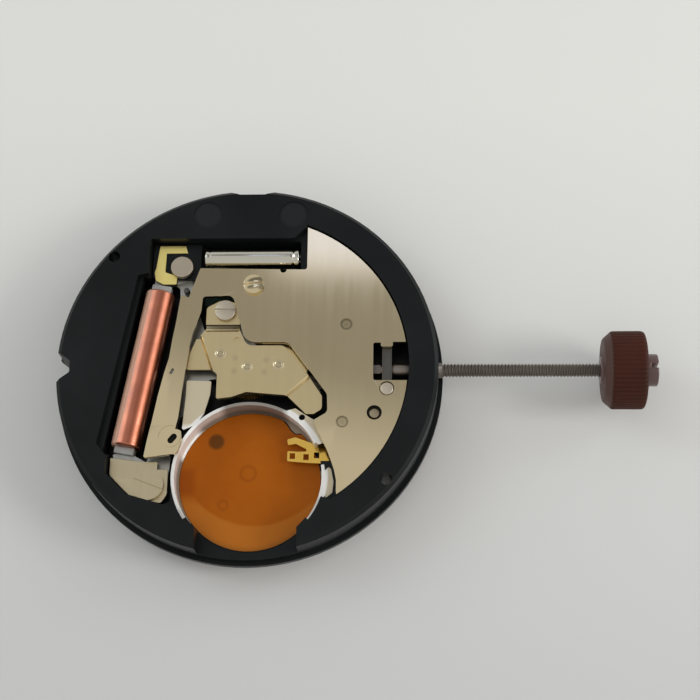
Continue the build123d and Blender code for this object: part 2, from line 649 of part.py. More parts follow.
# Main plate, the black moulded body that carries everything
with BuildPart() as main_plate:
    add_round(centre, flange_radius, 0, flange_height)
    add_round(centre, case_radius, 0, body_height)
    chamfer(main_plate.edges().filter_by(GeomType.CIRCLE).sort_by(Axis.Z)[-1], length=rim_chamfer)
    add_round(centre, date_seat_radius, 0, web_bottom, Mode.SUBTRACT)

    # Seat of the cover plate and the well of the battery
    with BuildSketch(Plane.XY.offset(cover_bottom)):
        Circle(cover_radius + plate_gap)
        with BuildLine():
            Polyline(*[spread(corner) for corner in right_field_shares], close=True)
        make_face(mode=Mode.INTERSECT)
    extrude(amount=body_height - cover_bottom, mode=Mode.SUBTRACT)
    add_plate(inner_wall_shares, cover_bottom, body_height, Mode.SUBTRACT)
    add_round(well_place, well_radius, web_top, body_height, Mode.SUBTRACT)
    for angles in (battery_wall_angles, battery_clip_angles):
        add_band(
            well_place,
            well_radius - overrun,
            well_radius + battery_wall_thickness,
            angles,
            web_top,
            body_height,
            Mode.SUBTRACT,
        )
    add_plate(rim_notch_shares, rim_notch_bottom, body_height, Mode.SUBTRACT)

    # Pockets for the train, the circuit, the coil and the keyless works
    add_plate(train_pocket_shares, web_top, body_height, Mode.SUBTRACT)
    add_plate(circuit_pocket_shares, web_top, body_height, Mode.SUBTRACT)
    add_plate(post_shelf_shares, stator_bottom, body_height, Mode.SUBTRACT)
    add_plate(clamp_shelf_shares, stator_bottom, body_height, Mode.SUBTRACT)
    spring_floor = contact_spring_height - axial_gap
    add_well_plate(spring_pocket_shares, spring_floor, body_height, Mode.SUBTRACT)
    add_plate(keyless_pocket_shares, web_top, cover_bottom, Mode.SUBTRACT)
    corrector_pocket_radius = corrector_gear_module * corrector_teeth / 2 + corrector_room
    add_round(corrector_place, corrector_pocket_radius, web_top, cover_bottom, Mode.SUBTRACT)

    # Trough of the coil, along the coil's own axis
    coil_floor = stator_top + core_thickness / 2 - coil_radius - axial_gap
    coil_level = stator_top + core_thickness / 2
    coil_top = coil_place(coil_top_y_share)
    coil_end = coil_place(coil_end_y_share)
    coil_length = distance(coil_top, coil_end)
    coil_middle = ((coil_top[0] + coil_end[0]) / 2, (coil_top[1] + coil_end[1]) / 2)
    trough_width = 2 * (coil_radius + coil_side_gap)
    trough_length = coil_length + 2 * (sleeve_length + coil_side_gap)
    with BuildSketch(Plane(origin=(coil_middle[0], coil_middle[1], coil_floor))):
        Rectangle(trough_length, trough_width, rotation=coil_angle)
    extrude(amount=body_height - coil_floor, mode=Mode.SUBTRACT)

    # Outer edge: notch, dip, foot holes and the hole of the stem
    add_plate(notch_shares, 0, body_height, Mode.SUBTRACT)
    add_plate(dip_shares, 0, body_height, Mode.SUBTRACT)
    foot_reach = case_radius - foot_hole_wall - foot_hole_radius
    for angle in foot_hole_angles:
        add_round(along(foot_reach, angle), foot_hole_radius, 0, body_height, Mode.SUBTRACT)
    for place in mark_places:
        add_round(spread(place), mark_radius, body_height - mark_depth, body_height, Mode.SUBTRACT)
    add_turned(stem_bearing_radius + running_gap, cover_radius, flange_radius, Mode.SUBTRACT)

    # Recesses of the flanges of the battery wall
    flange_top = cover_bottom - axial_gap
    flange_bottom = flange_top - wall_flange_thickness
    for corners in (right_flange_shares, wall_flange_shares, clip_flange_shares):
        add_well_plate(corners, flange_bottom, body_height, Mode.SUBTRACT)

    # Pillars that carry the bridge, the arm, the screws, the yoke and the release button
    tab_bottom = bridge_bottom - bridge_step
    foot_bottom = bridge_bottom - bridge_foot_drop
    for place, radius, top in (
        (bridge_screw_place, bridge_screw_radius, tab_bottom),
        (spread(bridge_foot_pillar_place), pillar_radius, foot_bottom),
        (spread(bridge_left_pillar_place), small_pillar_radius, bridge_bottom),
        (cover_screw_place, shank_radius + pillar_wall, cover_bottom),
        (arm_pillar_place, pillar_radius, cover_bottom),
        (release_place, release_radius + pillar_wall, setting_lever_bottom - axial_gap),
        (yoke_place, shank_radius + pillar_wall, yoke_bottom),
    ):
        add_round(place, radius, web_bottom, top)
    for place, radius, top in (
        (bridge_screw_place, shank_radius, tab_bottom),
        (cover_screw_place, shank_radius, cover_bottom),
        (yoke_place, shank_radius, yoke_bottom),
        (coil_post_place, shank_radius, stator_bottom),
        (clamp_screw_place, clamp_shank_radius, stator_bottom),
        (locating_pin_place, locating_pin_radius, cover_bottom),
        (release_place, release_radius + running_gap, cover_bottom),
    ):
        add_round(place, radius, web_top, top, Mode.SUBTRACT)

    # Block that guides the pilot of the stem
    block_middle = (pilot_block_start + pilot_block_end) / 2
    with BuildSketch(Plane(origin=(block_middle, 0, stem_height - pilot_block_half))):
        with Locations((0, (pilot_block_reach - pilot_block_half) / 2)):
            Rectangle(pilot_block_end - pilot_block_start, pilot_block_reach + pilot_block_half)
    extrude(amount=2 * pilot_block_half)
    add_turned(stem_pilot_radius + running_gap, pilot_block_start, pilot_block_end, Mode.SUBTRACT)

    # Bearings in the web
    for place in (rotor_place, intermediate_place, third_place):
        add_round(place, pivot_radius + running_gap, web_top - pivot_depth, web_top, Mode.SUBTRACT)
    for place, radius in (
        (centre, cannon_radius + running_gap),
        (setting_place, setting_hub_radius + running_gap),
        (corrector_place, corrector_hub_radius + running_gap),
    ):
        add_round(place, radius, web_bottom, web_top, Mode.SUBTRACT)

    # Dial side: posts, screw bosses and the rib that the date ring runs on
    add_round(minute_place, minute_post_radius, finger_bottom, web_bottom)
    for place in (idler_place, date_wheel_place):
        add_round(place, dial_post_radius, finger_bottom, web_bottom)
    rib_outer = date_rib_radius + date_rib_width
    for angles in ((0, 180), (180, 360)):
        add_band(centre, date_rib_radius, rib_outer, angles, date_ring_top + axial_gap, web_bottom)
    web_middle = web_bottom + web_thickness / 2
    for angle in date_screw_angles:
        screw_place = along(date_screw_reach, angle)
        add_round(screw_place, date_boss_radius, date_cover_thickness, web_bottom)
        add_round(screw_place, small_screw_radius, date_cover_thickness, web_middle, Mode.SUBTRACT)
    add_round(jumper_place, date_boss_radius, date_ring_top, web_bottom)
    add_round(jumper_place, small_screw_radius, date_ring_top, web_middle, Mode.SUBTRACT)
main_plate.part.label = "main_plate"
export_step(main_plate.part, "parts/main_plate.step")
print("main plate done")

# Cover plate with its arm beside the coil and the slot of the setting lever
with BuildPart() as cover_plate:
    with BuildSketch(Plane.XY.offset(cover_bottom)):
        Circle(cover_radius)
        with BuildLine():
            FilletPolyline(
                *[spread(corner) for corner in cover_shares],
                radius=[corner[2] * layout_radius for corner in cover_shares],
                close=True,
            )
        make_face(mode=Mode.INTERSECT)
    extrude(amount=cover_thickness)
    add_plate(cover_slot_shares, cover_bottom, cover_top, Mode.SUBTRACT)
    add_plate(flap_shares, cover_top - flap_drop, cover_top, Mode.SUBTRACT)
    for shares, width_share in (
        (arm_hole_shares, arm_hole_width_share),
        (boss_hole_shares, boss_hole_width_share),
    ):
        add_bar(
            spread(shares[0]),
            spread(shares[1]),
            width_share * layout_radius,
            cover_bottom,
            cover_top,
            Mode.SUBTRACT,
        )
    ring_inner = boss_ring_share * layout_radius
    ring_outer = ring_inner + boss_ring_width_share * layout_radius
    for angles in ((0, 180), (180, 360)):
        add_band(
            arm_pillar_place,
            ring_inner,
            ring_outer,
            angles,
            cover_top - mark_depth,
            cover_top,
            Mode.SUBTRACT,
        )
    for place, radius in (
        (spread(cover_nick_place), cover_nick_share * layout_radius),
        (locating_pin_place, cover_hole_share * layout_radius),
        (cover_screw_place, shank_radius + running_gap),
        (release_place, release_head_radius + neck_gap),
    ):
        add_round(place, radius, cover_bottom, cover_top, Mode.SUBTRACT)
    for place in cover_dimple_places:
        dimple_low = cover_top - dimple_depth
        add_round(spread(place), cover_dimple_share * layout_radius, dimple_low, cover_top, Mode.SUBTRACT)
cover_plate.part.label = "cover_plate"
export_step(cover_plate.part, "parts/cover_plate.step")

with BuildPart() as cover_screw:
    add_screw(
        cover_screw_place,
        cover_screw_radius,
        cover_top,
        cover_top + head_height,
        shank_radius,
        web_top + pivot_depth,
        cover_slot_angle,
    )
cover_screw.part.label = "cover_screw"
export_step(cover_screw.part, "parts/cover_screw.step")

with BuildPart() as locating_pin:
    add_round(locating_pin_place, locating_pin_radius, web_top, cover_bottom + cover_thickness / 2)
locating_pin.part.label = "locating_pin"
export_step(locating_pin.part, "parts/locating_pin.step")

# Train bridge with its screw tab, lowered foot and pivot holes
jewel_top = bridge_bottom + bridge_thickness / 2
with BuildPart() as train_bridge:
    add_plate(bridge_shares, bridge_bottom, bridge_top)
    add_plate(bridge_step_shares, bridge_bottom, bridge_top - bridge_step)
    add_plate(bridge_tab_shares, tab_bottom, bridge_top - bridge_step)
    add_plate(bridge_foot_shares, foot_bottom, foot_bottom + bridge_thickness)
    groove_bottom = bridge_top - bridge_step - bridge_groove_depth
    add_plate(bridge_groove_shares, groove_bottom, bridge_top, Mode.SUBTRACT)
    add_round(bridge_screw_place, shank_radius, tab_bottom, bridge_top, Mode.SUBTRACT)
    for place in (centre, rotor_place, intermediate_place, third_place):
        add_round(place, pivot_radius + running_gap, bridge_bottom, jewel_top, Mode.SUBTRACT)
        add_round(place, dimple_radius, bridge_top - dimple_depth, bridge_top, Mode.SUBTRACT)
train_bridge.part.label = "train_bridge"
export_step(train_bridge.part, "parts/train_bridge.step")

with BuildPart() as bridge_screw:
    tab_top = bridge_top - bridge_step
    add_screw(
        bridge_screw_place,
        bridge_screw_radius,
        tab_top,
        tab_top + head_height,
        shank_radius,
        web_top + pivot_depth,
        0,
    )
bridge_screw.part.label = "bridge_screw"
export_step(bridge_screw.part, "parts/bridge_screw.step")

# Motor: stator, core, winding and its two sleeves
with BuildPart() as stator:
    add_plate(stator_shares, stator_bottom, stator_top)
    add_round(rotor_place, magnet_radius + air_gap, stator_bottom, stator_top, Mode.SUBTRACT)
    with BuildSketch(Plane(origin=(rotor_place[0], rotor_place[1], stator_bottom))) as notches:
        Rectangle(2 * (magnet_radius + 2 * air_gap), stator_slit_width, rotation=45)
    extrude(notches.sketch, amount=stator_thickness, mode=Mode.SUBTRACT)
    add_round(coil_post_place, shank_radius, stator_bottom, stator_top, Mode.SUBTRACT)
    add_round(clamp_screw_place, clamp_shank_radius, stator_bottom, stator_top, Mode.SUBTRACT)
    add_round(arm_pillar_place, pillar_radius + plate_gap, stator_bottom, stator_top, Mode.SUBTRACT)
stator.part.label = "stator"
export_step(stator.part, "parts/stator.step")


def add_coil_box(length, width, low, high, shift=0, mode=Mode.ADD):
    """A box along the axis of the coil, moved along it from the middle of the coil."""
    with BuildSketch(Plane(origin=(coil_middle[0], coil_middle[1], low))) as box:
        with Locations(Rot(0, 0, coil_angle)):
            with Locations((shift, 0)):
                Rectangle(length, width)
    extrude(box.sketch, amount=high - low, mode=mode)


with BuildPart() as coil_core:
    add_coil_box(coil_length + 2 * sleeve_length + coil_side_gap, core_width, stator_top, core_top)
    add_plate(core_top_shares, stator_top, core_top)
    add_plate(core_end_shares, stator_top, core_top)
    add_round(coil_post_place, shank_radius, stator_top, core_top, Mode.SUBTRACT)
    add_round(clamp_screw_place, clamp_shank_radius, stator_top, core_top, Mode.SUBTRACT)
coil_core.part.label = "coil_core"
export_step(coil_core.part, "parts/coil_core.step")

with BuildPart() as coil_winding:
    coil_way = (cos(radians(coil_angle)), sin(radians(coil_angle)), 0)
    with BuildSketch(Plane(origin=(coil_end[0], coil_end[1], coil_level), z_dir=coil_way)) as turn:
        Circle(coil_radius)
    extrude(turn.sketch, amount=coil_length)
    add_coil_box(coil_length + overrun, core_width, stator_top, core_top, 0, Mode.SUBTRACT)
coil_winding.part.label = "coil_winding"
export_step(coil_winding.part, "parts/coil_winding.step")

sleeve_shift = (coil_length + sleeve_length) / 2
sleeve_low = coil_level - sleeve_height / 2
sleeve_high = coil_level + sleeve_height / 2
with BuildPart() as upper_coil_sleeve:
    add_coil_box(sleeve_length, sleeve_width, sleeve_low, sleeve_high, sleeve_shift)
    add_coil_box(
        coil_length + 2 * (sleeve_length + overrun),
        core_width,
        stator_top,
        core_top,
        0,
        Mode.SUBTRACT,
    )
upper_coil_sleeve.part.label = "upper_coil_sleeve"
export_step(upper_coil_sleeve.part, "parts/upper_coil_sleeve.step")

with BuildPart() as lower_coil_sleeve:
    add_coil_box(sleeve_length, sleeve_width, sleeve_low, sleeve_high, -sleeve_shift)
    add_coil_box(
        coil_length + 2 * (sleeve_length + overrun),
        core_width,
        stator_top,
        core_top,
        0,
        Mode.SUBTRACT,
    )
lower_coil_sleeve.part.label = "lower_coil_sleeve"
export_step(lower_coil_sleeve.part, "parts/lower_coil_sleeve.step")

# Pin by the upper end of the coil
with BuildPart() as coil_pin:
    add_round(coil_pin_place, coil_pin_radius, stator_top, bridge_bottom)
coil_pin.part.label = "coil_pin"
export_step(coil_pin.part, "parts/coil_pin.step")

# Circuit: block, contact track, post, board, chip and crystal
block_bottom = core_top
block_top = block_bottom + block_thickness
track_top = block_top + track_thickness
board_top = web_top + board_thickness
with BuildPart() as circuit_block:
    add_plate(block_shares, block_bottom, block_top)
    add_round(coil_post_place, shank_radius, block_bottom, block_top, Mode.SUBTRACT)
circuit_block.part.label = "circuit_block"
export_step(circuit_block.part, "parts/circuit_block.step")

with BuildPart() as contact_track:
    add_plate(track_shares, block_top, track_top)
contact_track.part.label = "contact_track"
export_step(contact_track.part, "parts/contact_track.step")

with BuildPart() as coil_post:
    add_round(coil_post_place, coil_post_radius, track_top, track_top + post_height)
    add_round(coil_post_place, shank_radius, web_top + pivot_depth, track_top)
coil_post.part.label = "coil_post"
export_step(coil_post.part, "parts/coil_post.step")

with BuildPart() as circuit_board:
    add_plate(board_shares, web_top, board_top)
    board_hole_radius = shank_radius + pillar_wall + plate_gap
    add_round(cover_screw_place, board_hole_radius, web_top, board_top, Mode.SUBTRACT)
circuit_board.part.label = "circuit_board"
export_step(circuit_board.part, "parts/circuit_board.step")

with BuildPart() as circuit_chip:
    chip_centre = spread(chip_place)
    with BuildSketch(Plane(origin=(chip_centre[0], chip_centre[1], board_top))) as chip:
        Rectangle(chip_size, chip_size)
    extrude(chip.sketch, amount=chip_height)
circuit_chip.part.label = "circuit_chip"
export_step(circuit_chip.part, "parts/circuit_chip.step")

crystal_start = crystal_start_share * layout_radius
crystal_end = crystal_end_share * layout_radius
crystal_y = crystal_y_share * layout_radius
lead_x = crystal_end - crystal_lead_inset
lead_ys = (crystal_y - crystal_lead_spread / 2, crystal_y + crystal_lead_spread / 2)


def add_can(radius, low, high):
    """A round length of the crystal, along X."""
    can_plane = Plane(origin=(low, crystal_y, crystal_height), x_dir=(0, 1, 0), z_dir=(1, 0, 0))
    with BuildSketch(can_plane) as can:
        Circle(radius)
    extrude(can.sketch, amount=high - low)


with BuildPart() as crystal_can:
    add_can(crystal_radius, crystal_start, crystal_end - crystal_cap_length)
crystal_can.part.label = "crystal_can"
export_step(crystal_can.part, "parts/crystal_can.step")

with BuildPart() as crystal_cap:
    add_can(crystal_radius - crystal_rim, crystal_end - crystal_cap_length, crystal_end)
    for lead_y in lead_ys:
        add_round((lead_x, lead_y), crystal_lead_radius, 0, crystal_height, Mode.SUBTRACT)
crystal_cap.part.label = "crystal_cap"
export_step(crystal_cap.part, "parts/crystal_cap.step")

with BuildPart() as crystal_leads:
    for lead_y in lead_ys:
        add_round((lead_x, lead_y), crystal_lead_radius, board_top, crystal_height)
crystal_leads.part.label = "crystal_leads"
export_step(crystal_leads.part, "parts/crystal_leads.step")

# Clamp plate at the lower end of the coil
clamp_top = core_top + clamp_plate_thickness
with BuildPart() as clamp_plate:
    add_plate(clamp_plate_shares, core_top, clamp_top)
    add_round(clamp_screw_place, clamp_shank_radius, core_top, clamp_top, Mode.SUBTRACT)
clamp_plate.part.label = "clamp_plate"
export_step(clamp_plate.part, "parts/clamp_plate.step")

with BuildPart() as clamp_screw:
    add_screw(
        clamp_screw_place,
        clamp_screw_radius,
        clamp_top,
        clamp_top + head_height,
        clamp_shank_radius,
        web_top + pivot_depth,
        clamp_slot_angle,
    )
clamp_screw.part.label = "clamp_screw"
export_step(clamp_screw.part, "parts/clamp_screw.step")

# Battery well: curved wall with its flanges, side clip, film and contact spring
with BuildPart() as battery_wall:
    wall_outer = well_radius + battery_wall_thickness
    foot_inner = well_radius - wall_foot_width
    film_top = web_top + film_thickness
    add_band(well_place, well_radius, wall_outer, battery_wall_angles, web_top, flange_top)
    add_band(well_place, foot_inner, wall_outer, battery_wall_angles, web_top, film_top)
    for corners in (right_flange_shares, wall_flange_shares):
        add_well_plate(corners, flange_bottom, flange_top)
    with BuildSketch(Plane.XY.offset(web_top)):
        with Locations(well_place):
            Circle(wall_outer)
        with BuildLine():
            Polyline(*[by_well(corner) for corner in floor_tab_shares], close=True)
        make_face(mode=Mode.INTERSECT)
    extrude(amount=film_thickness)
    flange_hole_radius = flange_hole_share * well_radius
    flange_hole_centre = by_well(flange_hole_place)
    add_round(flange_hole_centre, flange_hole_radius, flange_bottom, flange_top, Mode.SUBTRACT)
battery_wall.part.label = "battery_wall"
export_step(battery_wall.part, "parts/battery_wall.step")

with BuildPart() as insulating_film:
    add_round(well_place, film_radius, web_top, film_top)
    add_well_plate(film_cut_shares, web_top, film_top, Mode.SUBTRACT)
insulating_film.part.label = "insulating_film"
export_step(insulating_film.part, "parts/insulating_film.step")

with BuildPart() as battery_clip:
    add_band(well_place, well_radius, wall_outer, battery_clip_angles, web_top, flange_top)
    add_band(well_place, foot_inner, wall_outer, battery_clip_angles, web_top, film_top)
    add_well_plate(clip_flange_shares, flange_bottom, flange_top)
    add_round(well_place, well_radius, flange_bottom, flange_top, Mode.SUBTRACT)
battery_clip.part.label = "battery_clip"
export_step(battery_clip.part, "parts/battery_clip.step")

with BuildPart() as contact_spring:
    spring_top = contact_spring_height + contact_spring_thickness
    add_well_plate(spring_shares, contact_spring_height, spring_top)
    for place in spring_window_places:
        window_length = spring_window_shares[0] * well_radius
        window_width = spring_window_shares[1] * well_radius
        with BuildSketch(Plane(origin=(*by_well(place), contact_spring_height))) as window:
            Rectangle(window_length, window_width)
        extrude(window.sketch, amount=contact_spring_thickness, mode=Mode.SUBTRACT)
contact_spring.part.label = "contact_spring"
export_step(contact_spring.part, "parts/contact_spring.step")

# Going train. The wheel and pinion of one arbor share no phase, each pair is meshed by itself.
lower_pivot = web_top - pivot_depth + arbor_end_gap
upper_pivot = jewel_top - arbor_end_gap
pivot_shoulder = bridge_bottom - axial_gap
rotor_module = 2 * distance(rotor_place, intermediate_place) / (rotor_teeth + intermediate_teeth)
seconds_module = (
    2 * distance(intermediate_place, centre) / (intermediate_pinion_teeth + seconds_teeth)
)
third_module = 2 * distance(centre, third_place) / (seconds_pinion_teeth + third_teeth)
centre_module = 2 * distance(third_place, centre) / (third_pinion_teeth + centre_teeth)
intermediate_phase = meshed(
    0, rotor_teeth, bearing(rotor_place, intermediate_place), intermediate_teeth
)
seconds_phase = meshed(
    0, intermediate_pinion_teeth, bearing(intermediate_place, centre), seconds_teeth
)
third_phase = meshed(0, seconds_pinion_teeth, bearing(centre, third_place), third_teeth)
centre_phase = meshed(0, third_pinion_teeth, bearing(third_place, centre), centre_teeth)
minute_phase = meshed(0, cannon_teeth, bearing(centre, minute_place), minute_teeth)
hour_phase = meshed(0, minute_pinion_teeth, bearing(minute_place, centre), hour_teeth)
idler_phase = meshed(0, hour_date_teeth, bearing(centre, idler_place), date_idler_teeth)
date_wheel_phase = meshed(
    idler_phase, date_idler_teeth, bearing(idler_place, date_wheel_place), date_wheel_teeth
)
setting_phase = meshed(
    minute_phase, minute_teeth, bearing(minute_place, setting_place), setting_pinion_teeth
)

magnet_bottom = stator_bottom - magnet_margin
magnet_top = stator_top + magnet_margin
with BuildPart() as rotor_magnet:
    add_round(rotor_place, magnet_radius, magnet_bottom, magnet_top)
    add_round(rotor_place, pivot_radius, magnet_bottom, magnet_top, Mode.SUBTRACT)
rotor_magnet.part.label = "rotor_magnet"
export_step(rotor_magnet.part, "parts/rotor_magnet.step")

with BuildPart() as rotor_pinion:
    add_round(rotor_place, pivot_radius, lower_pivot, upper_pivot)
    add_round(rotor_place, arbor_radius, magnet_top, pivot_shoulder)
    pinion_low = intermediate_wheel_bottom - axial_gap
    pinion_high = intermediate_wheel_bottom + wheel_thickness + axial_gap
    add_gear(rotor_place, rotor_teeth, rotor_module, 0, pinion_low, pinion_high)
rotor_pinion.part.label = "rotor_pinion"
export_step(rotor_pinion.part, "parts/rotor_pinion.step")

with BuildPart() as intermediate_wheel:
    wheel_high = intermediate_wheel_bottom + wheel_thickness
    pinion_low = stator_top + axial_gap
    add_gear(
        intermediate_place,
        intermediate_teeth,
        rotor_module,
        intermediate_phase,
        intermediate_wheel_bottom,
        wheel_high,
    )
    add_gear(
        intermediate_place,
        intermediate_pinion_teeth,
        seconds_module,
        0,
        pinion_low,
        intermediate_wheel_bottom,
    )
    add_round(intermediate_place, pivot_radius, lower_pivot, upper_pivot)
    add_round(intermediate_place, arbor_radius, intermediate_wheel_bottom, pivot_shoulder)
intermediate_wheel.part.label = "intermediate_wheel"
export_step(intermediate_wheel.part, "parts/intermediate_wheel.step")

with BuildPart() as seconds_arbor:
    pinion_low = third_wheel_bottom - axial_gap
    pinion_high = third_wheel_bottom + wheel_thickness + running_gap
    add_round(centre, seconds_post_radius, seconds_tip, seconds_seat_top)
    add_cone(seconds_post_radius, arbor_radius, seconds_seat_top, seconds_taper_top)
    add_round(centre, arbor_radius, seconds_taper_top, pivot_shoulder)
    add_round(centre, pivot_radius, pivot_shoulder, upper_pivot)
    add_gear(centre, seconds_pinion_teeth, third_module, 0, pinion_low, pinion_high)
seconds_arbor.part.label = "seconds_arbor"
export_step(seconds_arbor.part, "parts/seconds_arbor.step")

with BuildPart() as seconds_wheel:
    wheel_high = seconds_wheel_bottom + wheel_thickness
    add_gear(centre, seconds_teeth, seconds_module, seconds_phase, seconds_wheel_bottom, wheel_high)
    add_round(centre, arbor_radius, seconds_wheel_bottom, wheel_high, Mode.SUBTRACT)
seconds_wheel.part.label = "seconds_wheel"
export_step(seconds_wheel.part, "parts/seconds_wheel.step")

third_pinion_bottom = centre_wheel_bottom - axial_gap
third_pinion_top = centre_wheel_bottom + wheel_thickness + axial_gap
with BuildPart() as third_pinion:
    add_gear(
        third_place,
        third_pinion_teeth,
        centre_module,
        0,
        third_pinion_bottom,
        third_pinion_top,
    )
    add_round(third_place, pivot_radius, lower_pivot, upper_pivot)
    add_round(third_place, arbor_radius, third_pinion_top, pivot_shoulder)
third_pinion.part.label = "third_pinion"
export_step(third_pinion.part, "parts/third_pinion.step")

with BuildPart() as third_wheel:
    wheel_high = third_wheel_bottom + wheel_thickness
    add_gear(third_place, third_teeth, third_module, third_phase, third_wheel_bottom, wheel_high)
    add_round(third_place, arbor_radius, third_wheel_bottom, wheel_high, Mode.SUBTRACT)
third_wheel.part.label = "third_wheel"
export_step(third_wheel.part, "parts/third_wheel.step")

centre_wheel_top = centre_wheel_bottom + wheel_thickness
with BuildPart() as cannon_pinion:
    minute_wheel_top = minute_wheel_bottom + minute_wheel_thickness
    add_gear(centre, cannon_teeth, cannon_module, 0, minute_wheel_bottom, minute_wheel_top)
    waist_middle = (minute_seat_top + cannon_waist_top) / 2
    add_round(centre, cannon_radius, cannon_tip, minute_seat_top)
    add_cone(cannon_radius, cannon_waist_radius, minute_seat_top, waist_middle)
    add_cone(cannon_waist_radius, cannon_radius, waist_middle, cannon_waist_top)
    add_round(centre, cannon_radius, cannon_waist_top, centre_wheel_top + plate_gap)
    add_round(
        centre,
        arbor_radius + running_gap,
        cannon_tip,
        centre_wheel_top + plate_gap,
        Mode.SUBTRACT,
    )
cannon_pinion.part.label = "cannon_pinion"
export_step(cannon_pinion.part, "parts/cannon_pinion.step")

with BuildPart() as centre_wheel:
    add_gear(
        centre,
        centre_teeth,
        centre_module,
        centre_phase,
        centre_wheel_bottom,
        centre_wheel_top,
    )
    add_round(centre, cannon_radius, centre_wheel_bottom, centre_wheel_top, Mode.SUBTRACT)
centre_wheel.part.label = "centre_wheel"
export_step(centre_wheel.part, "parts/centre_wheel.step")

# Motion work and date drive on the dial side
with BuildPart() as minute_wheel:
    add_gear(
        minute_place,
        minute_teeth,
        cannon_module,
        minute_phase,
        minute_wheel_bottom,
        minute_wheel_top,
    )
    add_gear(
        minute_place,
        minute_pinion_teeth,
        hour_module,
        0,
        finger_bottom,
        minute_wheel_bottom,
    )
    post_gap_radius = minute_post_radius + running_gap
    add_round(minute_place, post_gap_radius, finger_bottom, minute_wheel_top, Mode.SUBTRACT)
minute_wheel.part.label = "minute_wheel"
export_step(minute_wheel.part, "parts/minute_wheel.step")

with BuildPart() as hour_wheel:
    hour_gear_top = finger_bottom + finger_thickness
    hour_wheel_top = date_gear_bottom + date_gear_thickness
    add_gear(centre, hour_teeth, hour_module, hour_phase, finger_bottom, hour_gear_top)
    add_gear(centre, hour_date_teeth, hour_module, 0, hour_gear_top, hour_wheel_top)
    add_round(centre, hour_pipe_radius, hour_pipe_tip, hour_collar_bottom)
    add_round(centre, hour_collar_radius, hour_collar_bottom, finger_bottom)
    pipe_bore = cannon_radius + running_gap
    add_round(centre, pipe_bore, hour_pipe_tip, hour_wheel_top, Mode.SUBTRACT)
hour_wheel.part.label = "hour_wheel"
export_step(hour_wheel.part, "parts/hour_wheel.step")

date_gear_top = date_gear_bottom + date_gear_thickness
date_hub_top = web_bottom - axial_gap
with BuildPart() as date_idler:
    add_gear(
        idler_place, date_idler_teeth, hour_module, idler_phase, date_gear_bottom, date_gear_top
    )
    add_round(idler_place, date_hub_radius, finger_bottom, date_hub_top)
    post_bore = dial_post_radius + running_gap
    add_round(idler_place, post_bore, finger_bottom, date_hub_top, Mode.SUBTRACT)
date_idler.part.label = "date_idler"
export_step(date_idler.part, "parts/date_idler.step")

with BuildPart() as date_wheel:
    add_gear(
        date_wheel_place,
        date_wheel_teeth,
        hour_module,
        date_wheel_phase,
        date_gear_bottom,
        date_gear_top,
    )
    add_round(date_wheel_place, date_hub_radius, hour_gear_top, date_hub_top)
    add_round(date_wheel_place, post_bore, hour_gear_top, date_hub_top, Mode.SUBTRACT)
date_wheel.part.label = "date_wheel"
export_step(date_wheel.part, "parts/date_wheel.step")

with BuildPart() as date_finger:
    finger_end = along(
        date_finger_reach - date_finger_width / 2, date_finger_angle, date_wheel_place
    )
    add_bar(date_wheel_place, finger_end, date_finger_width, finger_bottom, hour_gear_top)
    add_round(date_wheel_place, date_hub_radius, finger_bottom, hour_gear_top)
    add_round(date_wheel_place, post_bore, finger_bottom, hour_gear_top, Mode.SUBTRACT)
date_finger.part.label = "date_finger"
export_step(date_finger.part, "parts/date_finger.step")

# Setting wheel and date corrector, each through the web
with BuildPart() as setting_wheel:
    setting_gear_top = centre_wheel_bottom + setting_gear_thickness
    add_gear(
        setting_place,
        setting_pinion_teeth,
        cannon_module,
        setting_phase,
        minute_wheel_bottom,
        minute_wheel_top,
    )
    add_round(setting_place, setting_hub_radius, minute_wheel_top, centre_wheel_bottom)
    add_gear(
        setting_place,
        setting_wheel_teeth,
        cannon_module,
        0,
        centre_wheel_bottom,
        setting_gear_top,
    )
setting_wheel.part.label = "setting_wheel"
export_step(setting_wheel.part, "parts/setting_wheel.step")

with BuildPart() as date_corrector:
    star_top = date_gear_top
    with BuildSketch(Plane(origin=(*corrector_place, date_ring_bottom))) as star:
        with BuildLine():
            Polyline(
                *tooth_points(
                    corrector_star_teeth,
                    corrector_star_root,
                    corrector_star_radius,
                    0,
                    corrector_star_root_share,
                    corrector_star_tip_share,
                ),
                close=True,
            )
        make_face()
    extrude(star.sketch, amount=star_top - date_ring_bottom)
    add_round(corrector_place, corrector_hub_radius, star_top, centre_wheel_bottom)
    add_gear(
        corrector_place,
        corrector_teeth,
        corrector_gear_module,
        0,
        centre_wheel_bottom,
        setting_gear_top,
    )
date_corrector.part.label = "date_corrector"
export_step(date_corrector.part, "parts/date_corrector.step")

# Date ring with inner teeth, its jumper, the cover of the dial side and four small screws
with BuildPart() as date_ring:
    add_round(centre, date_ring_radius, date_ring_bottom, date_ring_top)
    ring_phase = jumper_angle + 180 / date_ring_teeth
    with BuildSketch(Plane.XY.offset(date_ring_bottom)):
        with BuildLine():
            Polyline(
                *tooth_points(
                    date_ring_teeth,
                    date_ring_root_radius,
                    date_ring_tip_radius,
                    ring_phase,
                    ring_tooth_root_share,
                    ring_tooth_tip_share,
                ),
                close=True,
            )
        make_face()
    extrude(amount=date_ring_thickness, mode=Mode.SUBTRACT)
date_ring.part.label = "date_ring"
export_step(date_ring.part, "parts/date_ring.step")

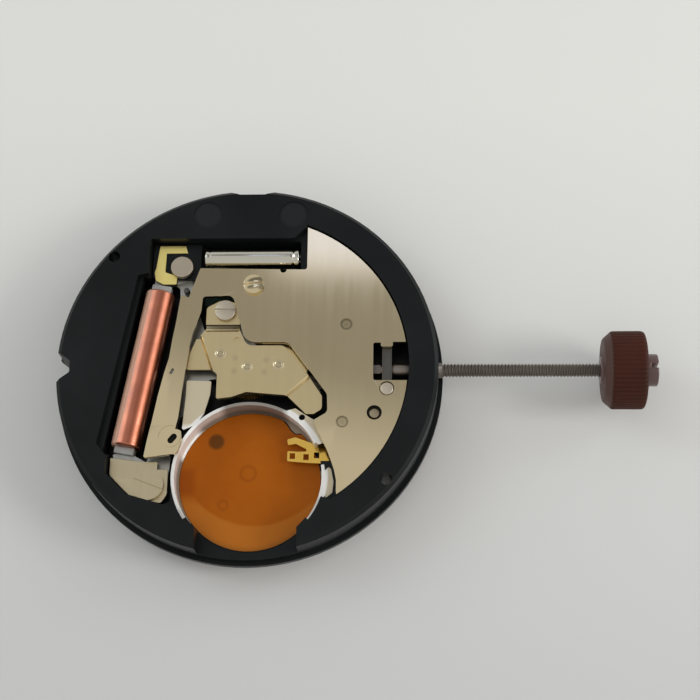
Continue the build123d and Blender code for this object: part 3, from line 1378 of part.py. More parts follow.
with BuildPart() as date_jumper:
    beak_place = along(date_ring_root_radius - jumper_tip_gap, jumper_angle)
    elbow_place = along(date_ring_tip_radius - 2 * jumper_tip_gap - jumper_width, jumper_angle)
    add_round(jumper_place, jumper_foot_radius, date_ring_bottom, date_ring_top)
    add_bar(jumper_place, elbow_place, jumper_width, date_ring_bottom, date_ring_top)
    add_bar(elbow_place, beak_place, jumper_width, date_ring_bottom, date_ring_top)
    add_round(jumper_place, small_screw_radius, date_ring_bottom, date_ring_top, Mode.SUBTRACT)
date_jumper.part.label = "date_jumper"
export_step(date_jumper.part, "parts/date_jumper.step")

with BuildPart() as date_cover:
    add_round(centre, date_cover_radius, 0, date_cover_thickness)
    pipe_opening = hour_collar_radius + pipe_opening_gap
    add_round(centre, pipe_opening, 0, date_cover_thickness, Mode.SUBTRACT)
    for angle in date_screw_angles:
        screw_place = along(date_screw_reach, angle)
        head_room = small_screw_head_radius + running_gap
        add_round(screw_place, head_room, 0, small_screw_head_thickness, Mode.SUBTRACT)
        add_round(screw_place, small_screw_radius, 0, date_cover_thickness, Mode.SUBTRACT)
date_cover.part.label = "date_cover"
export_step(date_cover.part, "parts/date_cover.step")

small_screw_places = [(along(date_screw_reach, angle), 0) for angle in date_screw_angles]
small_screw_places.append((jumper_place, date_ring_bottom - small_screw_head_thickness))
with BuildPart() as small_screws:
    for place, low in small_screw_places:
        head_top = low + small_screw_head_thickness
        add_round(place, small_screw_head_radius, low, head_top)
        add_round(place, small_screw_radius, head_top, head_top + small_screw_length)
        with BuildSketch(Plane(origin=(*place, low))) as slot_face:
            Rectangle(2 * (small_screw_head_radius + overrun), screw_slot_width)
        extrude(slot_face.sketch, amount=small_screw_slot_depth, mode=Mode.SUBTRACT)
small_screws.part.label = "small_screws"
export_step(small_screws.part, "parts/small_screws.step")

# Keyless works: stem, sliding pinion, yoke, setting lever and release button
with BuildPart() as stem:
    add_turned(stem_pilot_radius, pilot_start, square_start)
    add_turned(shoulder_radius, square_end, release_place[0] - lever_pin_radius - neck_gap)
    add_turned(stem_neck_radius, square_end, bearing_end)
    add_turned(stem_bearing_radius, release_place[0] + lever_pin_radius + neck_gap, bearing_end)
    add_turned(stem_radius, bearing_end, crown_start + stem_hold)
    square_plane = Plane(
        origin=(square_start, 0, stem_height), x_dir=(0, 1, 0), z_dir=(1, 0, 0)
    )
    with BuildSketch(square_plane) as square_face:
        Rectangle(stem_square, stem_square)
    extrude(square_face.sketch, amount=square_end - square_start)
stem.part.label = "stem"
export_step(stem.part, "parts/stem.step")

with BuildPart() as sliding_pinion:
    pitch_radius = pinion_crown_module * pinion_crown_teeth / 2
    add_turned(pinion_hub_radius, pinion_start, pinion_end)
    for low in (pinion_start, pinion_end - pinion_crown_length):
        crown_plane = Plane(origin=(low, 0, stem_height), x_dir=(0, 1, 0), z_dir=(1, 0, 0))
        with BuildSketch(crown_plane) as teeth_face:
            with BuildLine():
                Polyline(
                    *tooth_points(
                        pinion_crown_teeth,
                        pitch_radius - dedendum_share * pinion_crown_module,
                        pitch_radius + addendum_share * pinion_crown_module,
                        0,
                        root_half_share,
                        tip_half_share,
                    ),
                    close=True,
                )
            make_face()
        extrude(teeth_face.sketch, amount=pinion_crown_length)
    bore_plane = Plane(origin=(pinion_start, 0, stem_height), x_dir=(0, 1, 0), z_dir=(1, 0, 0))
    with BuildSketch(bore_plane) as square_bore:
        Rectangle(stem_square + 2 * square_gap, stem_square + 2 * square_gap)
    extrude(square_bore.sketch, amount=pinion_end - pinion_start, mode=Mode.SUBTRACT)
sliding_pinion.part.label = "sliding_pinion"
export_step(sliding_pinion.part, "parts/sliding_pinion.step")

with BuildPart() as crown:
    add_turned(crown_radius, crown_start, crown_end)
    rims = crown.edges().filter_by(GeomType.CIRCLE).sort_by(Axis.X)
    chamfer(rims[0], length=crown_chamfer, length2=crown_chamfer_length)
    rims = crown.edges().filter_by(GeomType.CIRCLE).sort_by(Axis.X)
    chamfer(rims[-1], length=crown_outer_chamfer)
    flute_low = crown_start + crown_chamfer_length
    flute_plane = Plane(origin=(flute_low, 0, stem_height), x_dir=(0, 1, 0), z_dir=(1, 0, 0))
    with BuildSketch(flute_plane) as flutes:
        with PolarLocations(crown_radius + crown_flute_radius / 2, crown_flutes):
            Circle(crown_flute_radius)
    extrude(flutes.sketch, amount=crown_end - flute_low, mode=Mode.SUBTRACT)
    add_turned(crown_core_radius, crown_start, crown_end, Mode.SUBTRACT)
crown.part.label = "crown"
export_step(crown.part, "parts/crown.step")

with BuildPart() as crown_core:
    add_turned(crown_core_radius, crown_start, crown_end)
    add_turned(crown_boss_radius, crown_end, crown_boss_end)
    slot_plane = Plane(
        origin=(crown_boss_end - crown_slot_depth, 0, stem_height),
        x_dir=(0, 1, 0),
        z_dir=(1, 0, 0),
    )
    with BuildSketch(slot_plane) as boss_slot:
        Rectangle(crown_slot_width, 2 * (crown_boss_radius + overrun))
    extrude(boss_slot.sketch, amount=crown_slot_depth, mode=Mode.SUBTRACT)
    add_turned(stem_radius, crown_start, crown_start + stem_hold, Mode.SUBTRACT)
crown_core.part.label = "crown_core"
export_step(crown_core.part, "parts/crown_core.step")

with BuildPart() as setting_lever:
    add_plate(setting_lever_shares, setting_lever_bottom, setting_lever_top)
    add_round(release_place, lever_hub_radius, setting_lever_bottom, setting_lever_top)
    lever_pin_place = (release_place[0], lever_pin_y)
    add_round(
        lever_pin_place, lever_pin_radius, stem_height - lever_pin_depth, setting_lever_bottom
    )
    add_round(
        release_place,
        release_radius + running_gap,
        setting_lever_bottom,
        setting_lever_top,
        Mode.SUBTRACT,
    )
setting_lever.part.label = "setting_lever"
export_step(setting_lever.part, "parts/setting_lever.step")

with BuildPart() as release_button:
    head_low = setting_lever_top + axial_gap + release_travel
    add_round(release_place, release_head_radius, head_low, cover_top - release_stand)
    add_round(release_place, release_radius, web_top + release_travel + axial_gap, head_low)
release_button.part.label = "release_button"
export_step(release_button.part, "parts/release_button.step")

yoke_top = yoke_bottom + yoke_thickness
with BuildPart() as yoke:
    add_plate(yoke_shares, yoke_bottom, yoke_top)
    add_round(yoke_place, shank_radius, yoke_bottom, yoke_top, Mode.SUBTRACT)
yoke.part.label = "yoke"
export_step(yoke.part, "parts/yoke.step")

with BuildPart() as yoke_pin:
    add_round(yoke_place, yoke_pin_radius, yoke_top, yoke_top + head_height)
    add_round(yoke_place, shank_radius, web_top + pivot_depth, yoke_top)
yoke_pin.part.label = "yoke_pin"
export_step(yoke_pin.part, "parts/yoke_pin.step")
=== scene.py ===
import bmesh
import bpy
import json
import math
import random
from mathutils import Matrix, Vector


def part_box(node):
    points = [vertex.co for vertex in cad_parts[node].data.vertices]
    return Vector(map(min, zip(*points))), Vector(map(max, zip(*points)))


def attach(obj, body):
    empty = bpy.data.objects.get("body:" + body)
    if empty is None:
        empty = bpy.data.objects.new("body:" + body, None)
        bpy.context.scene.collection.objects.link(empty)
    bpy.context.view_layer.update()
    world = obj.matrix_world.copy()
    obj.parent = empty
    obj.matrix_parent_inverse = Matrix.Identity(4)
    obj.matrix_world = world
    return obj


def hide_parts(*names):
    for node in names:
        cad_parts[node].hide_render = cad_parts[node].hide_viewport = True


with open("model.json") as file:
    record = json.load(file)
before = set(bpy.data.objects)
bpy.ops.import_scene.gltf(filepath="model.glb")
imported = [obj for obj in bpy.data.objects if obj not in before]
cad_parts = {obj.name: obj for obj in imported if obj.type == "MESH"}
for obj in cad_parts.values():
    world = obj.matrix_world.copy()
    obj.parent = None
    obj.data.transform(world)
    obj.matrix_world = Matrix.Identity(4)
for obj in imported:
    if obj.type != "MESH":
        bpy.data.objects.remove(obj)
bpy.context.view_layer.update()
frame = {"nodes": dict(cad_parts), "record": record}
mm = 0.001
bodyOf = {node: body for body, nodes in frame["record"]["behaviour"]["bodies"].items() for node in nodes}
slotOf = {entry["node"]: entry["material_slot"] for entry in frame["record"]["subparts"]}


# Shader values that add, multiply and compare inside one material
class Wave:
    def __init__(self, paint, socket):
        self.paint = paint
        self.socket = socket

    def math(self, kind, *others):
        inputs = {0: self}
        for index, other in enumerate(others):
            inputs[index + 1] = other
        return self.paint.node("ShaderNodeMath", inputs, operation=kind)

    def __add__(self, other):
        return self.math("ADD", other)

    def __sub__(self, other):
        return self.math("SUBTRACT", other)

    def __rsub__(self, other):
        return (self * -1.0) + other

    def __mul__(self, other):
        return self.math("MULTIPLY", other)

    def __truediv__(self, other):
        return self.math("DIVIDE", other)

    __radd__ = __add__
    __rmul__ = __mul__

    def ramp(self, low, high, first=0.0, last=1.0):
        inputs = {"Value": self, "From Min": low, "From Max": high, "To Min": first, "To Max": last}
        return self.paint.node("ShaderNodeMapRange", inputs)


# A node tree whose nodes are added by one method
class Graph:
    def __init__(self, tree):
        self.tree = tree

    def node(self, kind, inputs, output=0, **settings):
        made = self.tree.nodes.new(kind)
        for key, value in settings.items():
            setattr(made, key, value)
        for key, value in inputs.items():
            if isinstance(value, Wave):
                self.tree.links.new(value.socket, made.inputs[key])
            else:
                made.inputs[key].default_value = value
        return Wave(self, made.outputs[output])

    def blend(self, factor, first, second):
        inputs = {0: factor, 6: first, 7: second}
        for key, value in ((6, first), (7, second)):
            if not isinstance(value, Wave):
                inputs[key] = (*value, 1)
        return self.node("ShaderNodeMix", inputs, 2, data_type="RGBA")

    def axes(self, vector):
        return [self.node("ShaderNodeSeparateXYZ", {"Vector": vector}, axis) for axis in range(3)]


paintSizes = {"coatRoughness": 0.12, "boxEdge": 0.04}
noiseSpan = (0.3, 0.7)  # nearly all of a noise's values lie in it


# One material, built on a Principled shader, with masks in millimetres of the part's own frame
class Paint(Graph):
    def __init__(self, name, colour, roughness, metallic=0.0, coat=0.0, specular=0.5):
        self.material = bpy.data.materials.new(name)
        self.material.use_nodes = True
        super().__init__(self.material.node_tree)
        self.shader = self.tree.nodes["Principled BSDF"]
        self.shader.inputs["Base Color"].default_value = (*colour, 1)
        self.shader.inputs["Roughness"].default_value = roughness
        self.shader.inputs["Metallic"].default_value = metallic
        self.shader.inputs["Coat Weight"].default_value = coat
        self.shader.inputs["Coat Roughness"].default_value = paintSizes["coatRoughness"]
        self.shader.inputs["Specular IOR Level"].default_value = specular
        self.place = self.node("ShaderNodeTexCoord", {}, "Object")

    def stretched(self, factors, turn=0.0):
        inputs = {"Vector": self.place, "Scale": factors, "Rotation": (0, 0, turn)}
        return self.node("ShaderNodeMapping", inputs)

    def noise(self, scale, detail=3.0, factors=(1, 1, 1), turn=0.0):
        vector = self.stretched(factors, turn)
        return self.node("ShaderNodeTexNoise", {"Vector": vector, "Scale": scale, "Detail": detail})

    def reach(self, x, y):
        along, across = self.axes(self.place)[:2]
        shift, rise = along - x * mm, across - y * mm
        return (shift * shift + rise * rise).math("SQRT") / mm

    def spot(self, x, y, inner, outer):
        return self.reach(x, y).ramp(inner, outer, 1.0, 0.0)

    def box(self, left, right, low, high, edge=paintSizes["boxEdge"]):
        along, across = [axis / mm for axis in self.axes(self.place)[:2]]
        sides = along.ramp(left - edge, left) * along.ramp(right, right + edge, 1.0, 0.0)
        return sides * across.ramp(low - edge, low) * across.ramp(high, high + edge, 1.0, 0.0)

    def band(self, x, y, radius, width):
        return (self.reach(x, y) - radius).math("ABSOLUTE").ramp(0.0, width, 1.0, 0.0)

    def put(self, name, value):
        self.tree.links.new(value.socket, self.shader.inputs[name])

    def bump(self, height, depth, strength=1.0):
        inputs = {"Height": height, "Distance": depth, "Strength": strength}
        self.put("Normal", self.node("ShaderNodeBump", inputs))


# Every metal has fine streaks along its grain and broad, faint clouds
metalGrain = {"streaks": 2600, "streakSpan": (0.35, 0.65), "streakShare": 0.3, "clouds": 160,
              "cloudSpan": (0.3, 0.75), "cloudShare": 0.7, "depth": 0.000004}


def metalPaint(name, colour, dark, roughness, grain, spread=0.08, relief=0.35, metallic=1.0, turn=0.0):
    paint = Paint(name, colour, roughness, metallic)
    streaks = paint.noise(metalGrain["streaks"], detail=4.0, factors=grain, turn=turn)
    clouds = paint.noise(metalGrain["clouds"])
    cloudy = clouds.ramp(*metalGrain["cloudSpan"]) * metalGrain["cloudShare"]
    streaky = streaks.ramp(*metalGrain["streakSpan"]) * metalGrain["streakShare"]
    paint.tone = paint.blend(cloudy + streaky, dark, colour)
    paint.put("Base Color", paint.tone)
    paint.put("Roughness", streaks.ramp(*noiseSpan, roughness - spread / 2, roughness + spread / 2))
    paint.bump(streaks, metalGrain["depth"], relief)
    return paint


def metal(*sizes, **more):
    return metalPaint(*sizes, **more).material


# Black moulded resin of the main plate and the circuit block
resinSizes = {"colour": (0.0040, 0.0046, 0.0044), "pale": (0.0075, 0.0085, 0.0085), "cloudSpan": (0.35, 0.7),
              "roughness": 0.36, "satin": (0.31, 0.43), "specular": 0.17, "grain": 5200, "clouds": 220,
              "cloudRelief": 2.0, "depth": 0.000005, "marks": ((-3.0, 10.9), (2.9, 10.9)),
              "markReach": (0.75, 1.02), "markColour": (0.018, 0.019, 0.020), "markShare": 0.5}
blackResin = Paint("blackResin", resinSizes["colour"], resinSizes["roughness"], specular=resinSizes["specular"])
resinGrain = blackResin.noise(resinSizes["grain"], detail=2.0)
resinClouds = blackResin.noise(resinSizes["clouds"], detail=4.0)
resinTone = blackResin.blend(resinClouds.ramp(*resinSizes["cloudSpan"]), resinSizes["colour"], resinSizes["pale"])
for markX, markY in resinSizes["marks"]:
    markSpot = blackResin.spot(markX, markY, *resinSizes["markReach"]) * resinSizes["markShare"]
    resinTone = blackResin.blend(markSpot, resinTone, resinSizes["markColour"])
blackResin.put("Base Color", resinTone)
blackResin.put("Roughness", resinClouds.ramp(*noiseSpan, *resinSizes["satin"]))
blackResin.bump(resinGrain + resinClouds * resinSizes["cloudRelief"], resinSizes["depth"], 0.5)

# Cover plate: pale champagne, with painted shade darkening the floor and ring of its two punched dimples
coverDimpleShade = {"dimples": ((6.63, 2.93), (6.43, -3.92)), "floor": (0.16, 0.24), "dimpleShadeColour": (0.50, 0.41, 0.25),
              "ring": (0.33, 0.13), "ringColour": (0.20, 0.165, 0.10), "ringShare": 0.85}
coverPaint = metalPaint("champagne", (0.67, 0.56, 0.35), (0.65, 0.54, 0.335), 0.07, (1, 0.06, 1),
                        spread=0.02, relief=0.045, turn=0.35)
coverTone = coverPaint.tone
# painted shade: each dimple's floor darker, its sloping ring darker still
for dimpleX, dimpleY in coverDimpleShade["dimples"]:
    dimpleFloorShade = coverPaint.spot(dimpleX, dimpleY, *coverDimpleShade["floor"])
    coverTone = coverPaint.blend(dimpleFloorShade, coverTone, coverDimpleShade["dimpleShadeColour"])
    dimpleRingShade = coverPaint.band(dimpleX, dimpleY, *coverDimpleShade["ring"]) * coverDimpleShade["ringShare"]
    coverTone = coverPaint.blend(dimpleRingShade, coverTone, coverDimpleShade["ringColour"])
coverPaint.put("Base Color", coverTone)
champagne = coverPaint.material

# Plain metals: colour, darker colour, roughness and the stretch of their grain along each axis
clampMetal = metal("clampMetal", (0.58, 0.49, 0.32), (0.52, 0.44, 0.28), 0.30, (1, 0.06, 1), spread=0.06, turn=0.1)
screwSteel = metal("screwSteel", (0.56, 0.49, 0.38), (0.50, 0.43, 0.33), 0.42, (1, 1, 1))
postSteel = metal("postSteel", (0.46, 0.39, 0.30), (0.40, 0.34, 0.26), 0.52, (1, 1, 1))
pinBrass = metal("pinBrass", (0.36, 0.30, 0.20), (0.28, 0.23, 0.15), 0.40, (1, 1, 1))
brightSteel = metal("brightSteel", (0.66, 0.61, 0.50), (0.56, 0.52, 0.43), 0.22, (1, 1, 0.1))
greySteel = metal("greySteel", (0.125, 0.115, 0.10), (0.085, 0.078, 0.07), 0.42, (1, 0.2, 1))
softIron = metal("softIron", (0.46, 0.45, 0.41), (0.34, 0.33, 0.30), 0.34, (1, 0.2, 1))
goldTrack = metal("goldTrack", (0.95, 0.80, 0.30), (0.88, 0.71, 0.22), 0.34, (1, 1, 1))
springGold = metal("springGold", (0.90, 0.60, 0.14), (0.74, 0.44, 0.07), 0.15, (1, 1, 1), spread=0.05)
wheelBrass = metal("wheelBrass", (0.82, 0.66, 0.34), (0.68, 0.52, 0.24), 0.26, (1, 1, 1))
canMetal = metal("canMetal", (0.62, 0.59, 0.50), (0.54, 0.52, 0.44), 0.12, (0.05, 1, 1), spread=0.04, relief=0.1)
stemSteel = metal("stemSteel", (0.25, 0.215, 0.185), (0.13, 0.11, 0.095), 0.38, (0.2, 1, 1))

# Train bridge: satin, with a few faint stains and a dark band of painted shade along the fold beside its screw
bridgeStainsAndShade = {"stains": ((-0.82, 0.61), (-0.86, -0.31), (1.16, -0.39), (1.26, 0.46)), "stainReach": (0.0, 0.30),
               "stainColour": (0.42, 0.34, 0.21), "stainShare": 0.55, "groove": (-3.1, -0.25, 2.75, 3.05),
               "foldShadeColour": (0.10, 0.08, 0.055), "foldShadeShare": 0.85}
bridgePaint = metalPaint("bridgeMetal", (0.65, 0.52, 0.285), (0.60, 0.48, 0.26), 0.34, (1, 0.08, 1),
                         spread=0.05, relief=0.2, turn=1.2)
bridgeTone = bridgePaint.tone
for stainX, stainY in bridgeStainsAndShade["stains"]:
    stain = bridgePaint.spot(stainX, stainY, *bridgeStainsAndShade["stainReach"]) * bridgeStainsAndShade["stainShare"]
    bridgeTone = bridgePaint.blend(stain, bridgeTone, bridgeStainsAndShade["stainColour"])
# painted shade: a dark band along the fold down to the screw tab
bridgeFoldShade = bridgePaint.box(*bridgeStainsAndShade["groove"]) * bridgeStainsAndShade["foldShadeShare"]
bridgeTone = bridgePaint.blend(bridgeFoldShade, bridgeTone, bridgeStainsAndShade["foldShadeColour"])
bridgePaint.put("Base Color", bridgeTone)
bridgeMetal = bridgePaint.material

# Well wall and clip: satin steel, warmer on the flanges, with painted shade making it darker down at the film,
# a painted highlight making it pale at the upper left, and painted shade dulling it in the shade of the bridge
wellFlangeAndPaintedLight = {"centre": (0.28, -7.5), "flangeFrom": (5.2, 5.3), "flangeColour": (0.56, 0.475, 0.33),
             "lowShadeLevel": (0.95, 1.75), "lowShadeColour": (0.20, 0.125, 0.06), "lowShadeShare": 0.85,
             "pale": (-4.8, -2.7, -5.8, -4.3, 0.4), "paleColour": (1.0, 0.98, 0.93), "paleShare": 0.9,
             "shade": (-1.3, 2.4, -3.4, -1.5, 0.5), "shadeColour": (0.10, 0.07, 0.045), "shadeShare": 0.75}
wellPaint = metalPaint("wellMetal", (0.86, 0.83, 0.78), (0.74, 0.71, 0.66), 0.42, (1, 1, 0.1), metallic=0.4)
wellHeight = wellPaint.axes(wellPaint.place)[2] / mm
wellFlange = wellPaint.reach(*wellFlangeAndPaintedLight["centre"]).ramp(*wellFlangeAndPaintedLight["flangeFrom"])
wellTone = wellPaint.blend(wellFlange, wellPaint.tone, wellFlangeAndPaintedLight["flangeColour"])
# painted shade: darker and browner low down, where the wall meets the film
wellLowShade = wellHeight.ramp(*wellFlangeAndPaintedLight["lowShadeLevel"], wellFlangeAndPaintedLight["lowShadeShare"], 0.0)
wellTone = wellPaint.blend(wellLowShade, wellTone, wellFlangeAndPaintedLight["lowShadeColour"])
# pale: a painted highlight on the upper left; shade: painted shade under the bridge
for patch in ("pale", "shade"):
    wellLightPatch = wellPaint.box(*wellFlangeAndPaintedLight[patch]) * wellFlangeAndPaintedLight[patch + "Share"]
    wellTone = wellPaint.blend(wellLightPatch, wellTone, wellFlangeAndPaintedLight[patch + "Colour"])
wellPaint.put("Base Color", wellTone)
wellMetal = wellPaint.material

# Resins, board and magnet: two close colours in clouds, roughness, then the scale and depth of a fine grain
plainSizes = {"clouds": 300, "spread": 0.06, "relief": 0.5}


def plainPaint(name, colour, other, roughness, grainScale, depth, coat=0.0):
    paint = Paint(name, colour, roughness, coat=coat)
    grain = paint.noise(grainScale)
    clouds = paint.noise(plainSizes["clouds"])
    paint.put("Base Color", paint.blend(clouds.ramp(*noiseSpan), colour, other))
    satin = (roughness - plainSizes["spread"], roughness + plainSizes["spread"])
    paint.put("Roughness", grain.ramp(*noiseSpan, *satin))
    paint.bump(grain, depth, plainSizes["relief"])
    return paint.material


whiteResin = plainPaint("whiteResin", (0.78, 0.78, 0.74), (0.70, 0.70, 0.66), 0.42, 3000, 0.000004)
greyResin = plainPaint("greyResin", (0.30, 0.29, 0.27), (0.40, 0.39, 0.37), 0.35, 3000, 0.000004)
greenBoard = plainPaint("greenBoard", (0.012, 0.030, 0.018), (0.020, 0.042, 0.024), 0.35, 2600, 0.000004, coat=0.4)
blackEpoxy = plainPaint("blackEpoxy", (0.010, 0.010, 0.011), (0.02, 0.02, 0.02), 0.30, 3600, 0.000004)
darkMagnet = plainPaint("darkMagnet", (0.10, 0.10, 0.105), (0.16, 0.16, 0.165), 0.36, 3600, 0.000006)
coreBrown = plainPaint("coreBrown", (0.125, 0.062, 0.052), (0.080, 0.040, 0.034), 0.36, 1500, 0.000010, coat=0.3)

# Crown: dull red brown, with a greyer painted sheen on its bevelled front
crownLook = {"colour": (0.045, 0.012, 0.006), "roughness": 0.46, "specular": 0.13, "satin": (0.40, 0.52),
             "tones": ((0.054, 0.0135, 0.0065), (0.038, 0.0105, 0.0055)), "clouds": 300, "grain": 1500,
             "depth": 0.00001, "relief": 0.4, "sheenEnd": (24.12, 24.22), "sheenShare": 0.75,
             "sheenColour": (0.105, 0.062, 0.053)}
crownPaint = Paint("crownBrown", crownLook["colour"], crownLook["roughness"], specular=crownLook["specular"])
crownGrain = crownPaint.noise(crownLook["grain"])
crownTone = crownPaint.blend(crownPaint.noise(crownLook["clouds"]).ramp(*noiseSpan), *crownLook["tones"])
crownAlong = crownPaint.axes(crownPaint.place)[0] / mm
# painted sheen: greyer colour over the bevelled front
crownSheen = crownAlong.ramp(*crownLook["sheenEnd"], crownLook["sheenShare"], 0.0)
crownPaint.put("Base Color", crownPaint.blend(crownSheen, crownTone, crownLook["sheenColour"]))
crownPaint.put("Roughness", crownGrain.ramp(*noiseSpan, *crownLook["satin"]))
crownPaint.bump(crownGrain, crownLook["depth"], crownLook["relief"])
crownBrown = crownPaint.material
print("stage materials")

# The material of each slot, and of the nodes that look different from the rest of their slot.
# The winding and the film, alone in their slots, are replaced by pieces with paints of their own.
slotPaint = {
    "black_resin": blackResin.material, "champagne_plate": champagne, "nickel_steel": brightSteel,
    "blued_screw": screwSteel, "soft_iron": softIron, "grey_resin": greyResin, "gold_track": goldTrack,
    "green_board": greenBoard, "black_chip": blackEpoxy, "crystal_metal": canMetal,
    "wheel_brass": wheelBrass, "white_resin": whiteResin, "dark_magnet": darkMagnet,
    "brown_crown": crownBrown, "brown_core": coreBrown, "stem_steel": stemSteel,
    "copper_wire": wheelBrass, "amber_film": goldTrack,
}
specialPaint = {
    "train_bridge": bridgeMetal, "clamp_plate": clampMetal, "clamp_screw": clampMetal, "cover_screw": champagne,
    "coil_post": postSteel, "bridge_screw": screwSteel, "crystal_cap": canMetal, "release_button": screwSteel,
    "locating_pin": pinBrass, "contact_spring": springGold, "setting_lever": greySteel, "date_cover": brightSteel,
    "battery_wall": wellMetal, "battery_clip": wellMetal, "yoke": greySteel, "coil_pin": greySteel,
}
for nodeName, nodeObject in frame["nodes"].items():
    chosen = specialPaint.get(nodeName, slotPaint[slotOf[nodeName]])
    nodeObject.data.materials.clear()
    nodeObject.data.materials.append(chosen)


def addPiece(name, mesh, paint, node, replaced=True):
    piece = bpy.data.objects.new(name, mesh)
    bpy.context.scene.collection.objects.link(piece)
    mesh.materials.clear()
    mesh.materials.append(paint)
    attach(piece, bodyOf[node])
    if replaced:
        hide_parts(node)
    return piece


def smoothMesh(mesh, angle):
    mesh.shade_smooth()
    mesh.set_sharp_from_angle(angle=math.radians(angle))


# Softened pieces: copies of their solids with a small live bevel, its width in mm and its segments
softEdges = {
    "cover_plate": (0.03, 2), "train_bridge": (0.045, 2), "clamp_plate": (0.04, 2), "cover_screw": (0.05, 2),
    "bridge_screw": (0.05, 2), "clamp_screw": (0.06, 2), "coil_post": (0.07, 3), "battery_wall": (0.02, 2),
    "release_button": (0.06, 2), "setting_lever": (0.03, 2), "locating_pin": (0.05, 2), "battery_clip": (0.02, 2),
    "contact_track": (0.015, 1), "upper_coil_sleeve": (0.06, 2), "lower_coil_sleeve": (0.06, 2),
    "circuit_block": (0.03, 2), "crown_core": (0.08, 3), "yoke_pin": (0.04, 2), "coil_pin": (0.04, 2),
}

# Places (x, y, reach) whose edges stay crisp: dimples, screw seats and tight corners, where a bevel would
# smear its shading over the flat plate
crispPlaces = {
    "cover_plate": ((6.63, 2.93, 0.7), (6.43, -3.92, 0.7), (0.3, 5.75, 1.1), (-5.1, -4.9, 1.1), (-0.95, 4.95, 0.6),
                    (8.55, 1.55, 0.6), (4.75, -4.2, 1.3)),
    "train_bridge": ((-1.83, 0.92, 0.5), (0.0, 0.0, 0.5), (2.105, 0.15, 0.5), (-0.73, 1.6, 0.6)),
    "clamp_plate": ((-6.3, -8.1, 1.3), (-7.6, -7.6, 0.8), (-5.3, -8.4, 0.6)),
    "clamp_screw": ((-6.3, -8.1, 2.0),),
}
edgeSizes = {"merge": 1e-7, "flatAngle": 1.0, "sharpAngle": 40, "faceWeight": 100}


def isCrisp(node, edge):
    middle = (edge.verts[0].co + edge.verts[1].co) / 2 / mm
    return any(math.hypot(middle.x - x, middle.y - y) < reach for x, y, reach in crispPlaces.get(node, ()))


def mergedCopy(node):
    mesh = frame["nodes"][node].data.copy()
    shape = bmesh.new()
    shape.from_mesh(mesh)
    bmesh.ops.remove_doubles(shape, verts=shape.verts, dist=edgeSizes["merge"])
    bmesh.ops.dissolve_limit(shape, angle_limit=math.radians(edgeSizes["flatAngle"]), verts=shape.verts,
                             edges=shape.edges)
    rounded = shape.edges.layers.float.new("bevel_weight_edge")
    for edge in shape.edges:
        if edge.calc_face_angle(0.0) >= math.radians(edgeSizes["sharpAngle"]):
            edge.smooth = not isCrisp(node, edge)
            edge[rounded] = 1.0 if edge.smooth else 0.0
    shape.to_mesh(mesh)
    shape.free()
    for face in mesh.polygons:
        face.use_smooth = True
    return mesh


def soften(piece, width, segments):
    bevel = piece.modifiers.new("softEdge", "BEVEL")
    bevel.width = width * mm
    bevel.segments = segments
    bevel.limit_method = "WEIGHT"
    bevel.use_clamp_overlap = True
    bevel.loop_slide = False
    even = piece.modifiers.new("evenNormals", "WEIGHTED_NORMAL")
    even.mode = "FACE_AREA"
    even.weight = edgeSizes["faceWeight"]
    even.keep_sharp = True


# The bridge is pressed: its raised part slopes down to the flap, the screw tab and the foot
bridgeSizes = {"slope": 0.17, "near": 0.05, "level": 0.001, "top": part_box("train_bridge")[1][2],
               "folds": (((-2.5, -0.10), (-3.25, 2.15)), ((-2.9, 2.65), (-0.6, 2.65)),
                         ((2.75, -2.02), (4.22, -0.73)))}


def nearFold(corner):
    point = Vector((corner.co.x, corner.co.y)) / mm
    for start, end in bridgeSizes["folds"]:
        first, run = Vector(start), Vector(end) - Vector(start)
        share = min(1.0, max(0.0, (point - first).dot(run) / run.length_squared))
        if (point - first - run * share).length < bridgeSizes["near"]:
            return abs(corner.co.z - bridgeSizes["top"]) < bridgeSizes["level"] * mm
    return False


def pressed(mesh):
    shape = bmesh.new()
    shape.from_mesh(mesh)
    folds = [edge for edge in shape.edges if all(nearFold(corner) for corner in edge.verts)]
    bmesh.ops.bevel(shape, geom=folds, offset=bridgeSizes["slope"] * mm, affect="EDGES", segments=1, profile=0.5,
                    material=-1)
    shape.to_mesh(mesh)
    shape.free()
    return mesh


for node, (width, segments) in softEdges.items():
    paint = specialPaint.get(node, slotPaint[slotOf[node]])
    mesh = mergedCopy(node)
    if node == "train_bridge":
        mesh = pressed(mesh)
    soften(addPiece(node + "Soft", mesh, paint, node), width, segments)
print("stage softened plates")

turnSizes = {"merge": 2e-6}


# A profile of (along, radius) points in mm, spun round an axis; an advance makes it a thread, whose slanting
# ends can mislead the recalculation of its faces
def turnedMesh(name, profile, steps, origin, axis, turns=1.0, advance=0.0):
    forward = Vector(axis).normalized()
    across = forward.orthogonal().normalized()
    base = Vector(origin) * mm
    shape = bmesh.new()
    points = [shape.verts.new(base + (forward * along + across * radius) * mm) for along, radius in profile]
    edges = [shape.edges.new(pair) for pair in zip(points, points[1:])]
    bmesh.ops.spin(shape, geom=points + edges, cent=base, axis=forward, angle=2 * math.pi * turns,
                   steps=int(steps * turns), dvec=forward * advance / steps * mm, use_merge=turns == 1.0)
    bmesh.ops.remove_doubles(shape, verts=shape.verts, dist=turnSizes["merge"])
    rims = [edge for edge in shape.edges if edge.is_boundary]
    if rims:
        bmesh.ops.holes_fill(shape, edges=rims, sides=0)
    bmesh.ops.recalc_face_normals(shape, faces=shape.faces)
    if shape.calc_volume(signed=True) < 0:
        bmesh.ops.reverse_faces(shape, faces=shape.faces)
    mesh = bpy.data.meshes.new(name)
    shape.to_mesh(mesh)
    shape.free()
    return mesh


